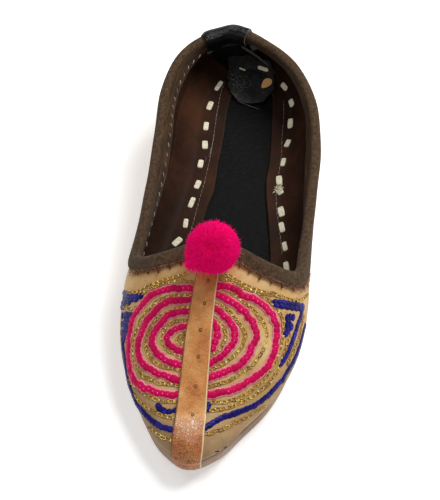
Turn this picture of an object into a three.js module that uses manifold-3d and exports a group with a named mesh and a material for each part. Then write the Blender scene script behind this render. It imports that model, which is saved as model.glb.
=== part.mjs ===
// A South Asian dress shoe, a mojari: a low hand-sewn leather slipper.
// Units are millimetres. X is the width, +Y points to the heel, -Y to the toe, +Z is up.
// The floor is at z = 0. The finished shoe is moved so that the origin lies under its middle.

import * as THREE from 'three';
import { mergeVertices } from 'three/addons/utils/BufferGeometryUtils.js';
import Module from 'manifold-3d';

const wasm = await Module();
wasm.setup();

// Driving dimensions
const LENGTH = 240; // upper's girth line, from heel back to toe tip
const HEEL_Y = 123; // back of the heel in the shoe's own frame
const BALL_HALF = 45; // half of the ball width
const INSTEP = 48; // height of the instep above the sole
const WALL = 2.0; // thickness of the upper's leather
const GAP = 0.3; // clearance between touching pieces
const SOLE_THICK = 4.0;
const SOLE_LIP = 0.9; // how far the outsole stands out past the upper
const HEEL_LIFT = 4.0; // height of the leather lift under the heel
const HEEL_BREAST_Y = 46; // front edge of the heel lift
const ARCH_START_Y = -14; // the sole leaves the floor here, going back
const TOE_SPRING = 4.5; // height of the sole's toe above the floor
const SPRING_START_Y = -82;
const INSOLE_THICK = 2.0;
const MARGIN_THICK = 1.2; // turned-in margin of the lining
const MARGIN_WIDTH = 13.5;
const MARGIN_FRONT_Y = -42;
const BINDING_THICK = 1.3;
const BINDING_LEG = 6.0; // depth of the binding below the collar edge, outside
const BINDING_INNER_LEG = 10.0; // and inside
const TRIM_THICK = 0.8;
const TRIM_BAND = 1.6; // plain band of the pinked trim
const TRIM_TOOTH = 1.6; // depth of its teeth
const STRIP_THICK = 1.6;
const THROAT_Y = -26.5; // where the collar crosses the sides of the instep
const PEAK_RISE = 7; // the throat's middle reaches this much further back
const PEAK_HALF = 30; // half width of that peak
const CORNER_RADIUS = 10; // round corner between throat and side
const TRIM_END = 8; // the trim ends this far behind the throat line
const TRIM_NOTCH_HALF = 1.7;
const TRIM_NOTCH_REACH = 36;
const STRIP = { x: -2.8, topY: -31, topHalf: 5.2, toeY: -125, toeHalf: 7.6, foot: 0.5 };
const POMPOM_RADIUS = 12.2;
const POMPOM = { x: 0, y: -29, z: 59 };
const TUFTS = 76;
const TUFT_LENGTH = 2.2;
const TUFT_HALF = 2.3;
const TUFT_SUNK = 0.25; // every third tuft stands this much lower than the one before
const TAB = { x: -13, half: 11, thick: 1.6, outerLeg: 15, innerLeg: 7.5, loop: 0.4 };
const PATCH = { left: -10, right: 14, front: 99 };
const PATCH_THICK = 1.0;

// Sections around one half of the shoe, heel back to toe tip.
// along: share of LENGTH from the heel. foot, girth, wall, shoulder: half widths, as shares of BALL_HALF.
// girthUp, wallUp, shoulderUp, ridgeUp: heights above the sole, as shares of INSTEP.
// footIn, wallIn, shoulderIn, ridgeIn: mm that each point is drawn towards the middle of the shoe.
// lean: mm that the side leans to -X at collar height. drift: mm that the whole section lies towards -X.
const SECTIONS = [
  { along: 0.000, lean: 8.8, drift: 0,
    foot: 0, footIn: 2.2, girth: 0, girthUp: 0.25, wall: 0, wallUp: 0.74, wallIn: 8.2,
    shoulder: 0, shoulderUp: 0.98, shoulderIn: 12, ridgeUp: 1.12, ridgeIn: 45 },
  { along: 0.033, lean: 7.4, drift: 0,
    foot: 0.37, footIn: 1.8, girth: 0.395, girthUp: 0.25, wall: 0.385, wallUp: 0.73, wallIn: 7.6,
    shoulder: 0.37, shoulderUp: 0.98, shoulderIn: 10, ridgeUp: 1.12, ridgeIn: 42 },
  { along: 0.101, lean: 4.9, drift: 0,
    foot: 0.589, footIn: 0.5, girth: 0.645, girthUp: 0.25, wall: 0.665, wallUp: 0.72, wallIn: 3.6,
    shoulder: 0.7, shoulderUp: 0.97, shoulderIn: 4, ridgeUp: 1.12, ridgeIn: 28 },
  { along: 0.194, lean: 2, drift: 0,
    foot: 0.644, girth: 0.762, girthUp: 0.25, wall: 0.845, wallUp: 0.68, wallIn: 0.5,
    shoulder: 0.864, shoulderUp: 0.94, shoulderIn: 1, ridgeUp: 1.1, ridgeIn: 12 },
  { along: 0.310, lean: -1, drift: 0,
    foot: 0.618, girth: 0.778, girthUp: 0.25, wall: 0.907, wallUp: 0.61,
    shoulder: 0.925, shoulderUp: 0.88, ridgeUp: 1.08, ridgeIn: 4 },
  { along: 0.426, lean: -1.5, drift: 0,
    foot: 0.689, girth: 0.851, girthUp: 0.25, wall: 0.906, wallUp: 0.57,
    shoulder: 0.911, shoulderUp: 0.85, ridgeUp: 1.06 },
  { along: 0.541, lean: -0.8, drift: 0,
    foot: 0.811, girth: 0.94, girthUp: 0.24, wall: 0.905, wallUp: 0.54,
    shoulder: 0.711, shoulderUp: 0.85, ridgeUp: 1.01 },
  { along: 0.645, lean: 0, drift: 0,
    foot: 0.896, girth: 1, girthUp: 0.2, wall: 0.922, wallUp: 0.5,
    shoulder: 0.6, shoulderUp: 0.77, ridgeUp: 0.875 },
  { along: 0.748, lean: 0, drift: 0,
    foot: 0.862, girth: 0.956, girthUp: 0.19, wall: 0.833, wallUp: 0.41,
    shoulder: 0.511, shoulderUp: 0.575, ridgeUp: 0.645 },
  { along: 0.839, lean: 0, drift: 0.6,
    foot: 0.715, girth: 0.785, girthUp: 0.17, wall: 0.678, wallUp: 0.3,
    shoulder: 0.4, shoulderUp: 0.4, ridgeUp: 0.44 },
  { along: 0.913, lean: 0, drift: 1.9,
    foot: 0.485, footIn: 0.2, girth: 0.532, girthUp: 0.135, wall: 0.43, wallUp: 0.23, wallIn: 0.3,
    shoulder: 0.256, shoulderUp: 0.288, shoulderIn: 0.5, ridgeUp: 0.31, ridgeIn: 1 },
  { along: 0.967, lean: 0, drift: 1.8,
    foot: 0.285, footIn: 0.7, girth: 0.32, girthUp: 0.105, wall: 0.24, wallUp: 0.19, wallIn: 1.4,
    shoulder: 0.144, shoulderUp: 0.255, shoulderIn: 4, ridgeUp: 0.28, ridgeIn: 7 },
  { along: 1.000, lean: 0, drift: 1.8,
    foot: 0, footIn: 1.2, girth: 0, girthUp: 0.085, wall: 0, wallUp: 0.165, wallIn: 2.2,
    shoulder: 0, shoulderUp: 0.235, shoulderIn: 6, ridgeUp: 0.262, ridgeIn: 11 },
];
const LEVELS = ['foot', 'girth', 'wall', 'shoulder', 'ridge'];
const STEPS_BETWEEN = 3; // columns between two sections
const COLUMNS = 2 * (SECTIONS.length - 1) * STEPS_BETWEEN;
const ROWS = 11; // points up one rib

const HALF_SPAN = 80; // half of a block that spans the shoe
const SINK = 8; // how far an inner form reaches below the sole line
const PEAK_STEPS = 16;
const MERGE = 0.02;

const smooth = (t) => {
  const s = Math.min(Math.max(t, 0), 1);
  return s * s * (3 - 2 * s);
};

// The underside of the outsole: flat under the ball, up over the arch to the heel lift, sprung at the toe.
function soleUnder(y) {
  const arch = (HEEL_LIFT + GAP) * smooth((y - ARCH_START_Y) / (HEEL_BREAST_Y - ARCH_START_Y));
  const reach = Math.max(0, (SPRING_START_Y - y) / (SPRING_START_Y - (HEEL_Y - LENGTH)));
  return arch + TOE_SPRING * reach ** 1.6;
}
const soleTop = (y) => soleUnder(y) + SOLE_THICK;

// One section's point at one level, on the side given by sign.
function sectionPoint(row, level, sign) {
  const half = (row[level] ?? 0) * BALL_HALF;
  const drawn = row[`${level}In`] ?? 0;
  const girthY = HEEL_Y - row.along * LENGTH;
  const y = girthY - Math.sign(girthY) * drawn;
  const up = (row[`${level}Up`] ?? 0) * INSTEP;
  const leaning = level === 'ridge' ? 0 : row.lean * Math.min(up / (0.7 * INSTEP), 1);
  return new THREE.Vector3(sign * half - leaning - row.drift, y, soleTop(y) + GAP + up);
}

// A closed ring around the shoe at each level.
const rings = LEVELS.map((level) => {
  const right = SECTIONS.map((row) => sectionPoint(row, level, 1));
  const left = SECTIONS.slice(1, -1).reverse().map((row) => sectionPoint(row, level, -1));
  return new THREE.CatmullRomCurve3([...right, ...left], true, 'centripetal');
});

// A rib climbs from the foot line to the ridge at one column.
const ribs = Array.from({ length: COLUMNS }, (_, column) => {
  const knots = rings.map((ring) => ring.getPoint(column / COLUMNS));
  return new THREE.CatmullRomCurve3(knots, false, 'centripetal').getPoints(ROWS);
});

const mate = (column) => (COLUMNS - column) % COLUMNS;
const wrap = (column) => (column + COLUMNS) % COLUMNS;

function ribNormal(column, row) {
  const along = ribs[wrap(column + 1)][row].clone().sub(ribs[wrap(column - 1)][row]);
  const up = ribs[column][Math.min(row + 1, ROWS)].clone().sub(ribs[column][Math.max(row - 1, 0)]);
  if (row === ROWS) {
    const across = ribs[column][ROWS - 1].clone().sub(ribs[mate(column)][ROWS - 1]);
    if (across.length() > 1) up.copy(across.multiplyScalar(column < COLUMNS / 2 ? -1 : 1));
    if (along.length() < MERGE) along.set(column === 0 ? 1 : -1, 0, 0);
  }
  return up.cross(along).normalize();
}

// Turns vertices and triangles into a manifold solid.
function solidOf(points, triangles) {
  const geometry = new THREE.BufferGeometry();
  const flat = points.flatMap((p) => [p.x, p.y, p.z]);
  geometry.setAttribute('position', new THREE.Float32BufferAttribute(flat, 3));
  geometry.setIndex(triangles.flat());
  return solidFromGeometry(geometry);
}

function solidFromGeometry(source) {
  const bare = source.clone();
  bare.deleteAttribute('normal');
  bare.deleteAttribute('uv');
  const merged = mergeVertices(bare, 1e-4);
  return new wasm.Manifold(new wasm.Mesh({
    numProp: 3,
    vertProperties: new Float32Array(merged.attributes.position.array),
    triVerts: new Uint32Array(merged.index.array),
  }));
}

// The whole last as a closed dome, grown by offset; its foot can be sunk to open the underside.
function dome(offset, sink = 0) {
  const points = [];
  const index = [];
  for (let column = 0; column < COLUMNS; column += 1) {
    index.push([]);
    for (let row = 0; row <= ROWS; row += 1) {
      if (row === ROWS && mate(column) < column) {
        index[column].push(index[mate(column)][ROWS]);
        continue;
      }
      const point = ribs[column][row].clone().addScaledVector(ribNormal(column, row), offset);
      if (row === ROWS) point.x = ribs[column][ROWS].x;
      if (row === 0) point.z = ribs[column][0].z - sink;
      index[column].push(points.length);
      points.push(point);
    }
  }
  const triangles = [];
  for (let column = 0; column < COLUMNS; column += 1) {
    const next = wrap(column + 1);
    for (let row = 0; row < ROWS; row += 1) {
      const [a, b] = [index[column][row], index[next][row]];
      const [c, d] = [index[next][row + 1], index[column][row + 1]];
      triangles.push([a, c, b], [a, d, c]);
    }
  }
  for (let column = 0; column < COLUMNS / 2; column += 1) {
    const [a, b] = [index[column][0], index[column + 1][0]];
    const [c, d] = [index[mate(column + 1)][0], index[mate(column)][0]];
    if (b !== c) triangles.push([a, b, c]);
    if (a !== d) triangles.push([a, c, d]);
  }
  return solidOf(points, triangles);
}

// The plan outline of the foot line, grown by offset.
function footOutline(offset) {
  return ribs.map((rib, column) => {
    const along = ribs[wrap(column + 1)][0].clone().sub(ribs[wrap(column - 1)][0]);
    const out = new THREE.Vector2(-along.y, along.x).normalize();
    return new THREE.Vector2(rib[0].x + out.x * offset, rib[0].y + out.y * offset);
  });
}

// A plate that follows the sole: outline in plan, low and high give its faces at each y.
function plate(outline, low, high) {
  const count = outline.length;
  const points = [];
  for (const p of outline) {
    points.push(new THREE.Vector3(p.x, p.y, low(p.y)), new THREE.Vector3(p.x, p.y, high(p.y)));
  }
  const triangles = [];
  for (let k = 0; k < count; k += 1) {
    const n = (k + 1) % count;
    triangles.push([2 * k, 2 * n + 1, 2 * n], [2 * k, 2 * k + 1, 2 * n + 1]);
  }
  for (let k = 0; k < count / 2; k += 1) {
    const [a, b, c, d] = [k, k + 1, (count - k - 1) % count, (count - k) % count];
    if (b !== c) triangles.push([2 * a, 2 * b, 2 * c], [2 * a + 1, 2 * c + 1, 2 * b + 1]);
    if (a !== d) triangles.push([2 * a, 2 * c, 2 * d], [2 * a + 1, 2 * d + 1, 2 * c + 1]);
  }
  return solidOf(points, triangles);
}

function block(x0, x1, y0, y1, z0, z1) {
  const box = new THREE.BoxGeometry(x1 - x0, y1 - y0, z1 - z0);
  box.translate((x0 + x1) / 2, (y0 + y1) / 2, (z0 + z1) / 2);
  return solidFromGeometry(box);
}

// The collar's edge in side view, from behind the heel down the side and up at the throat.
const COLLAR = [
  { y: 150, z: 45.5 }, { y: 118, z: 44.0 }, { y: 96, z: 42.8 }, { y: 72, z: 40.2 },
  { y: 46, z: 36.6 }, { y: 20, z: 33.8 }, { y: -4, z: 31.6 },
];
const COLLAR_STEPS = 24;
const CORNER_STEPS = 7;
const COLLAR_TOP = 80;

function collarEdge(grow) {
  const side = new THREE.CatmullRomCurve3(COLLAR.map((p) => new THREE.Vector3(0, p.y, p.z)));
  const line = side.getPoints(COLLAR_STEPS).map((p) => new THREE.Vector2(p.y, p.z));
  const last = line[line.length - 1];
  const cornerY = THROAT_Y + CORNER_RADIUS;
  line.push(new THREE.Vector2(cornerY, last.y - 0.5));
  const centreZ = last.y - 0.5 + CORNER_RADIUS;
  for (let k = 1; k <= CORNER_STEPS; k += 1) {
    const turn = (k / CORNER_STEPS) * Math.PI / 2;
    line.push(new THREE.Vector2(
      cornerY - CORNER_RADIUS * Math.sin(turn),
      centreZ - CORNER_RADIUS * Math.cos(turn),
    ));
  }
  line.push(new THREE.Vector2(THROAT_Y, COLLAR_TOP));
  return line.map((p, k) => {
    const before = line[Math.max(k - 1, 0)];
    const after = line[Math.min(k + 1, line.length - 1)];
    const run = after.clone().sub(before).normalize();
    return new THREE.Vector2(p.x - run.y * grow, p.y + run.x * grow);
  });
}

// The plan line of the throat's peak; grow moves it towards the toe.
function peakLine(grow, reach = PEAK_HALF) {
  return Array.from({ length: PEAK_STEPS + 1 }, (_, k) => {
    const x = (2 * k / PEAK_STEPS - 1) * reach;
    const swell = Math.abs(x) < PEAK_HALF ? (1 + Math.cos(Math.PI * x / PEAK_HALF)) / 2 : 0;
    return new THREE.Vector2(x, THROAT_Y + PEAK_RISE * swell - grow);
  });
}

// An upright prism over a plan outline.
function upright(outline, low, high) {
  const shape = new THREE.Shape(outline);
  const prism = new THREE.ExtrudeGeometry(shape, { depth: high - low, bevelEnabled: false });
  prism.translate(0, 0, low);
  return solidFromGeometry(prism);
}

// Everything above the collar's edge. grow moves the edge into the leather.
function aboveCollar(grow) {
  const edge = collarEdge(grow);
  const shape = new THREE.Shape([...edge, new THREE.Vector2(edge[0].x, COLLAR_TOP)]);
  const prism = new THREE.ExtrudeGeometry(shape, { depth: 2 * HALF_SPAN, bevelEnabled: false });
  prism.translate(0, 0, -HALF_SPAN);
  prism.applyMatrix4(new THREE.Matrix4().makeBasis(
    new THREE.Vector3(0, 1, 0), new THREE.Vector3(0, 0, 1), new THREE.Vector3(1, 0, 0),
  ));
  const frontY = THROAT_Y - grow - PEAK_RISE;
  const peak = [
    new THREE.Vector2(-PEAK_HALF, frontY),
    new THREE.Vector2(PEAK_HALF, frontY),
    ...peakLine(grow).reverse(),
  ];
  return solidFromGeometry(prism).subtract(upright(peak, -10, COLLAR_TOP + 10));
}

// The leather's wall between two offsets of the last.
const shell = (outside, inside) => dome(outside).subtract(dome(inside, SINK));

// A strip of leather folded over the collar: it clears the wall by clear and reaches legs down its faces.
function foldedOver(clear, thick, legs, rise = 0) {
  const around = shell(clear + thick, -WALL - clear - thick).subtract(aboveCollar(-clear - thick - rise));
  const wallRoom = shell(clear, -WALL - clear).subtract(aboveCollar(-clear - rise));
  return around.intersect(aboveCollar(legs)).subtract(wallRoom);
}

const materials = {
  vamp: new THREE.MeshStandardMaterial({ color: '#cda573', roughness: 0.55, metalness: 0 }),
  sole: new THREE.MeshStandardMaterial({ color: '#a98462', roughness: 0.7, metalness: 0 }),
  lift: new THREE.MeshStandardMaterial({ color: '#8a6748', roughness: 0.75, metalness: 0 }),
  insole: new THREE.MeshStandardMaterial({ color: '#1b1a1a', roughness: 0.6, metalness: 0 }),
  lining: new THREE.MeshStandardMaterial({ color: '#3a2418', roughness: 0.65, metalness: 0 }),
  strip: new THREE.MeshStandardMaterial({ color: '#c48a5a', roughness: 0.45, metalness: 0 }),
  binding: new THREE.MeshStandardMaterial({ color: '#4a4036', roughness: 0.9, metalness: 0 }),
  trim: new THREE.MeshStandardMaterial({ color: '#5a2a18', roughness: 0.7, metalness: 0 }),
  yarn: new THREE.MeshStandardMaterial({ color: '#d4106a', roughness: 0.95, metalness: 0 }),
  tab: new THREE.MeshStandardMaterial({ color: '#141414', roughness: 0.3, metalness: 0 }),
};

const shoe = new THREE.Group();
shoe.name = 'mojari';

// Joins vertices that a cut left closer than MERGE and drops the triangles that this closes up.
function withoutSlivers(geometry) {
  const merged = mergeVertices(geometry, MERGE);
  const corners = merged.index.array;
  const kept = [];
  for (let k = 0; k < corners.length; k += 3) {
    const [a, b, c] = [corners[k], corners[k + 1], corners[k + 2]];
    if (a !== b && b !== c && c !== a) kept.push(a, b, c);
  }
  merged.setIndex(kept);
  return merged;
}

function addPiece(name, solid, material) {
  const mesh = solid.getMesh();
  const geometry = new THREE.BufferGeometry();
  geometry.setAttribute('position', new THREE.Float32BufferAttribute(mesh.vertProperties, 3));
  geometry.setIndex(new THREE.Uint32BufferAttribute(mesh.triVerts, 1));
  const piece = new THREE.Mesh(withoutSlivers(geometry), material);
  piece.name = name;
  shoe.add(piece);
}

// Upper: one hollow leather wall, open at the collar and underneath.
addPiece('upper', shell(0, -WALL).subtract(aboveCollar(0)), materials.vamp);

// Outsole with its lip, arch and toe spring, and the leather lift under the heel.
addPiece('outsole', plate(footOutline(SOLE_LIP), soleUnder, soleTop), materials.sole);
const behindBreast = block(-HALF_SPAN, HALF_SPAN, HEEL_BREAST_Y, HEEL_Y + 10, -5, 10);
const liftPlate = plate(footOutline(SOLE_LIP - 0.4), () => 0, () => HEEL_LIFT);
addPiece('heel_lift', liftPlate.intersect(behindBreast), materials.lift);

// Insole, the lining's turned-in margin and the heel patch lie on each other inside the wall.
const room = dome(-WALL - GAP, SINK);
const wide = footOutline(4);
function innerPlate(under, thick) {
  return plate(wide, (y) => soleTop(y) + under, (y) => soleTop(y) + under + thick).intersect(room);
}
addPiece('insole', innerPlate(GAP, INSOLE_THICK), materials.insole);

const marginUnder = 2 * GAP + INSOLE_THICK;
const inner = footOutline(0).filter((p) => p.y > MARGIN_FRONT_Y - 20 && Math.abs(p.x) > MARGIN_WIDTH + 6)
  .map((p) => new THREE.Vector2(p.x - Math.sign(p.x) * MARGIN_WIDTH, Math.min(p.y, HEEL_Y - 18)));
const marginFront = block(-HALF_SPAN, HALF_SPAN, -HEEL_Y - 20, MARGIN_FRONT_Y, -5, 60);
addPiece('lining_margin', innerPlate(marginUnder, MARGIN_THICK)
  .subtract(upright(inner.reverse(), -5, 40)).subtract(marginFront), materials.lining);

const patchUnder = marginUnder + MARGIN_THICK + GAP;
const patchArea = block(PATCH.left, PATCH.right, PATCH.front, HEEL_Y + 5, 0, 40);
addPiece('heel_patch', innerPlate(patchUnder, PATCH_THICK).intersect(patchArea), materials.tab);

// Binding folded over the whole collar edge, longer inside than outside.
const belowLeg = shell(GAP + BINDING_THICK + 1, -WALL / 2).subtract(aboveCollar(BINDING_LEG));
const binding = foldedOver(GAP, BINDING_THICK, BINDING_INNER_LEG).subtract(belowLeg);
addPiece('collar_binding', binding, materials.binding);

// Pinked trim on the vamp below the binding.
const trimTop = BINDING_LEG + GAP;
const trimFoot = trimTop + TRIM_BAND + TRIM_TOOTH;
const trimArea = block(-HALF_SPAN, HALF_SPAN, -HEEL_Y, THROAT_Y + TRIM_END, 0, COLLAR_TOP);
let trim = shell(GAP + TRIM_THICK, GAP).intersect(aboveCollar(trimFoot)).subtract(aboveCollar(trimTop))
  .intersect(trimArea);
for (const notch of peakLine(trimFoot + 0.5, TRIM_NOTCH_REACH)) {
  trim = trim.subtract(upright([
    new THREE.Vector2(notch.x - TRIM_NOTCH_HALF, notch.y),
    new THREE.Vector2(notch.x + TRIM_NOTCH_HALF, notch.y),
    new THREE.Vector2(notch.x, notch.y + TRIM_TOOTH + 0.5),
  ], 0, COLLAR_TOP));
}
addPiece('throat_trim', trim, materials.trim);

// Centre strip from the pompom down over the toe, a little wider at the toe.
const stripArea = upright([
  new THREE.Vector2(STRIP.x - STRIP.topHalf, STRIP.topY),
  new THREE.Vector2(STRIP.x - STRIP.toeHalf, STRIP.toeY),
  new THREE.Vector2(STRIP.x + STRIP.toeHalf, STRIP.toeY),
  new THREE.Vector2(STRIP.x + STRIP.topHalf, STRIP.topY),
], 0, COLLAR_TOP);
const underStrip = plate(wide, (y) => soleTop(y) - SINK, (y) => soleTop(y) + STRIP.foot);
const strip = shell(GAP + STRIP_THICK, GAP).intersect(stripArea).subtract(underStrip);
addPiece('centre_strip', strip, materials.strip);

// Pompom: a yarn ball with tufts fused on, flattened where it sits on the throat.
const ball = new THREE.IcosahedronGeometry(POMPOM_RADIUS, 3);
ball.translate(POMPOM.x, POMPOM.y, POMPOM.z);
let pompom = solidFromGeometry(ball);
const goldenTurn = Math.PI * (3 - Math.sqrt(5));
for (let k = 0; k < TUFTS; k += 1) {
  const height = 1 - 2 * (k + 0.5) / TUFTS;
  const ringRadius = Math.sqrt(1 - height * height);
  const out = new THREE.Vector3(
    ringRadius * Math.cos(k * goldenTurn),
    ringRadius * Math.sin(k * goldenTurn),
    height,
  );
  const tuft = new THREE.ConeGeometry(TUFT_HALF, TUFT_LENGTH * 2, 5);
  tuft.translate(0, POMPOM_RADIUS - TUFT_SUNK * (1 + k % 3), 0);
  tuft.applyQuaternion(new THREE.Quaternion().setFromUnitVectors(new THREE.Vector3(0, 1, 0), out));
  tuft.translate(POMPOM.x, POMPOM.y, POMPOM.z);
  pompom = pompom.add(solidFromGeometry(tuft));
}
addPiece('pompom', pompom.subtract(dome(2 * GAP + STRIP_THICK)), materials.yarn);

// Pull tab: a short strap folded over the binding at the heel, standing up as a loop.
const tabClear = 2 * GAP + BINDING_THICK;
const tabArea = block(TAB.x - TAB.half, TAB.x + TAB.half, HEEL_Y - 30, HEEL_Y + 20, 0, COLLAR_TOP);
const tabInside = dome(-WALL).subtract(aboveCollar(TAB.innerLeg));
addPiece('pull_tab', foldedOver(tabClear, TAB.thick, TAB.outerLeg, TAB.loop).intersect(tabArea)
  .subtract(tabInside), materials.tab);

// The origin lies on the floor under the middle of the shoe's box.
const middle = new THREE.Box3().setFromObject(shoe).getCenter(new THREE.Vector3());
shoe.position.set(-middle.x, -middle.y, 0);

export default shoe;
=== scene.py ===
# %% [markdown]
# # An embroidered mojari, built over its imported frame
# The shoe is one closed leather body with a soft collar, a strip down its middle and rows of chain stitch.
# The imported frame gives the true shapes. Every piece below is laid over it in the same millimetres.

# %%
import math

import bpy
import numpy as np
from mathutils import Matrix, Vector
from mathutils.bvhtree import BVHTree

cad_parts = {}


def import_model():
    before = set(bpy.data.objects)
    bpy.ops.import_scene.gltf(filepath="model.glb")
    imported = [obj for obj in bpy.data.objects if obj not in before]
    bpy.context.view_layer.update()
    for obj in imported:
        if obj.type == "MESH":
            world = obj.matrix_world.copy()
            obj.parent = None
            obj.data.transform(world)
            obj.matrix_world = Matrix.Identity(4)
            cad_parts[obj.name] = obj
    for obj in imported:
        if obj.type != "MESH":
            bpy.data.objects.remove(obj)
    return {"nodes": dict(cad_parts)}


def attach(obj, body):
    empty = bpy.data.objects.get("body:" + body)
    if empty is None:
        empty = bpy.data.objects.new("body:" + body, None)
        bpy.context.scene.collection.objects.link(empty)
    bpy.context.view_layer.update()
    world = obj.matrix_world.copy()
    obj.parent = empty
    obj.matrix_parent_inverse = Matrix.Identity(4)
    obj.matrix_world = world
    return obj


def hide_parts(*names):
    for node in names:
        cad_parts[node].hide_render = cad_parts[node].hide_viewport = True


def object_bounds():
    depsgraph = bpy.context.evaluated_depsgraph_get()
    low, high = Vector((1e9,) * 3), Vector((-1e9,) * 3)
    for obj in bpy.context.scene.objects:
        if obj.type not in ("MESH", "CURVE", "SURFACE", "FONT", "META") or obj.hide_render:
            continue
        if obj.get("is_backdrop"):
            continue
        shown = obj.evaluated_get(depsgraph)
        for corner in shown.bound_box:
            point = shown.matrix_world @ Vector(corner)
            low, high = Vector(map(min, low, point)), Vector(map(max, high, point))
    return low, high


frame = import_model()
cad_low, cad_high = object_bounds()
print("packed frame:", len(frame["nodes"]), "nodes")

# %% [markdown]
# ## The shoe's own sizes
# A shoe is shaped over a last. A table of cross-sections says how wide and how high the last is at each station.
# The same table made the frame, so surfaces laid from it fit the frame to a few hundredths of a millimetre.

# %%
MM = 0.001
SHIFT_Y = -2.72
LENGTH, HEEL_Y, BALL_HALF, INSTEP = 240, 123, 45, 48
WALL, GAP, SOLE_THICK, SOLE_LIP, HEEL_LIFT = 2.0, 0.3, 4.0, 0.9, 4.0
HEEL_BREAST_Y, ARCH_START_Y, TOE_SPRING, SPRING_START_Y = 46, -14, 4.5, -82
THROAT_Y, PEAK_RISE, PEAK_HALF, CORNER_RADIUS, CORNER_Z = -26.5, 7, 30, 10, 31.1
LEVELS = ("foot", "girth", "wall", "shoulder", "ridge")
# Each level holds its half width by the ball's, its height by the instep's, and how far it is drawn in, in mm.
SECTIONS = [dict(zip(("along", "lean", "drift") + LEVELS, row)) for row in (
    (0, 8.8, 0, (0, 0, 2.2), (0, 0.25, 0), (0, 0.74, 8.2), (0, 0.98, 12), (0, 1.12, 45)),
    (0.033, 7.4, 0, (0.37, 0, 1.8), (0.395, 0.25, 0), (0.385, 0.73, 7.6), (0.37, 0.98, 10), (0, 1.12, 42)),
    (0.101, 4.9, 0, (0.589, 0, 0.5), (0.645, 0.25, 0), (0.665, 0.72, 3.6), (0.7, 0.97, 4), (0, 1.12, 28)),
    (0.194, 2, 0, (0.644, 0, 0), (0.762, 0.25, 0), (0.845, 0.68, 0.5), (0.864, 0.94, 1), (0, 1.1, 12)),
    (0.31, -1, 0, (0.618, 0, 0), (0.778, 0.25, 0), (0.907, 0.61, 0), (0.925, 0.88, 0), (0, 1.08, 4)),
    (0.426, -1.5, 0, (0.689, 0, 0), (0.851, 0.25, 0), (0.906, 0.57, 0), (0.911, 0.85, 0), (0, 1.06, 0)),
    (0.541, -0.8, 0, (0.811, 0, 0), (0.94, 0.24, 0), (0.905, 0.54, 0), (0.711, 0.85, 0), (0, 1.01, 0)),
    (0.645, 0, 0, (0.896, 0, 0), (1, 0.2, 0), (0.922, 0.5, 0), (0.6, 0.77, 0), (0, 0.875, 0)),
    (0.748, 0, 0, (0.862, 0, 0), (0.956, 0.19, 0), (0.833, 0.41, 0), (0.511, 0.575, 0), (0, 0.645, 0)),
    (0.839, 0, 0.6, (0.715, 0, 0), (0.785, 0.17, 0), (0.678, 0.3, 0), (0.4, 0.4, 0), (0, 0.44, 0)),
    (0.913, 0, 1.9, (0.485, 0, 0.2), (0.532, 0.135, 0), (0.43, 0.23, 0.3), (0.256, 0.288, 0.5), (0, 0.31, 1)),
    (0.967, 0, 1.8, (0.285, 0, 0.7), (0.32, 0.105, 0), (0.24, 0.19, 1.4), (0.144, 0.255, 4), (0, 0.28, 7)),
    (1, 0, 1.8, (0, 0, 1.2), (0, 0.085, 0), (0, 0.165, 2.2), (0, 0.235, 6), (0, 0.262, 11)),
)]

# %% [markdown]
# ## From stations to a smooth surface
# Five rings run round the shoe, one at each level. A rib crosses them from the foot line up to the ridge.
# A point on the leather is then two numbers: how far round, and how far up.

# %%
def ease(t):
    s = np.clip(t, 0, 1)
    return s * s * (3 - 2 * s)


def sole_under(y):
    arch = (HEEL_LIFT + GAP) * ease((y - ARCH_START_Y) / (HEEL_BREAST_Y - ARCH_START_Y))
    reach = np.maximum(0, (SPRING_START_Y - y) / (SPRING_START_Y - (HEEL_Y - LENGTH)))
    return arch + TOE_SPRING * reach ** 1.6


def sole_top(y):
    return sole_under(y) + SOLE_THICK


def section_point(row, level, sign):
    half, up, drawn = (np.array(row[level]) * (BALL_HALF, INSTEP, 1)).tolist()
    girth_y = HEEL_Y - row["along"] * LENGTH
    y = girth_y - np.sign(girth_y) * drawn
    leaning = 0 if level == "ridge" else row["lean"] * min(up / (0.7 * INSTEP), 1)
    return (sign * half - leaning - row["drift"], y, sole_top(y) + GAP + up)


def ring_knots(level):
    right = [section_point(row, level, 1) for row in SECTIONS]
    left = [section_point(row, level, -1) for row in SECTIONS[1:-1][::-1]]
    return np.array(right + left)


RINGS = [ring_knots(level) for level in LEVELS]


def through(p0, p1, p2, p3, w):
    """A centripetal curve from p1 to p2."""
    def step(a, b):
        return np.sum((a - b) ** 2, axis=-1)[..., None] ** 0.25
    d0, d1, d2 = step(p0, p1), step(p1, p2), step(p2, p3)
    d1 = np.where(d1 < 1e-4, 1.0, d1)
    d0 = np.where(d0 < 1e-4, d1, d0)
    d2 = np.where(d2 < 1e-4, d1, d2)
    t1 = ((p1 - p0) / d0 - (p2 - p0) / (d0 + d1) + (p2 - p1) / d1) * d1
    t2 = ((p2 - p1) / d1 - (p3 - p1) / (d1 + d2) + (p3 - p2) / d2) * d1
    w = w[..., None]
    return p1 + t1 * w + (-3 * p1 + 3 * p2 - 2 * t1 - t2) * w ** 2 + (2 * p1 - 2 * p2 + t1 + t2) * w ** 3


def ring_at(knots, u):
    n = len(knots)
    s = (u % 1.0) * n
    i = np.floor(s).astype(int)
    w = s - i
    i %= n
    return through(knots[(i - 1) % n], knots[i], knots[(i + 1) % n], knots[(i + 2) % n], w)


def last_point(u, v):
    """The outside of the leather, u round the shoe and v up the rib, in millimetres."""
    u, v = np.broadcast_arrays(np.asarray(u, float), np.asarray(v, float))
    k = [ring_at(knots, u) for knots in RINGS]
    k = np.stack([2 * k[0] - k[1]] + k + [2 * k[4] - k[3]])
    s = np.clip(v, 0, 1) * 4
    i = np.minimum(np.floor(s).astype(int), 3)
    at = tuple(np.indices(i.shape))
    return through(k[(i,) + at], k[(i + 1,) + at], k[(i + 2,) + at], k[(i + 3,) + at], s - i)


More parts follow.
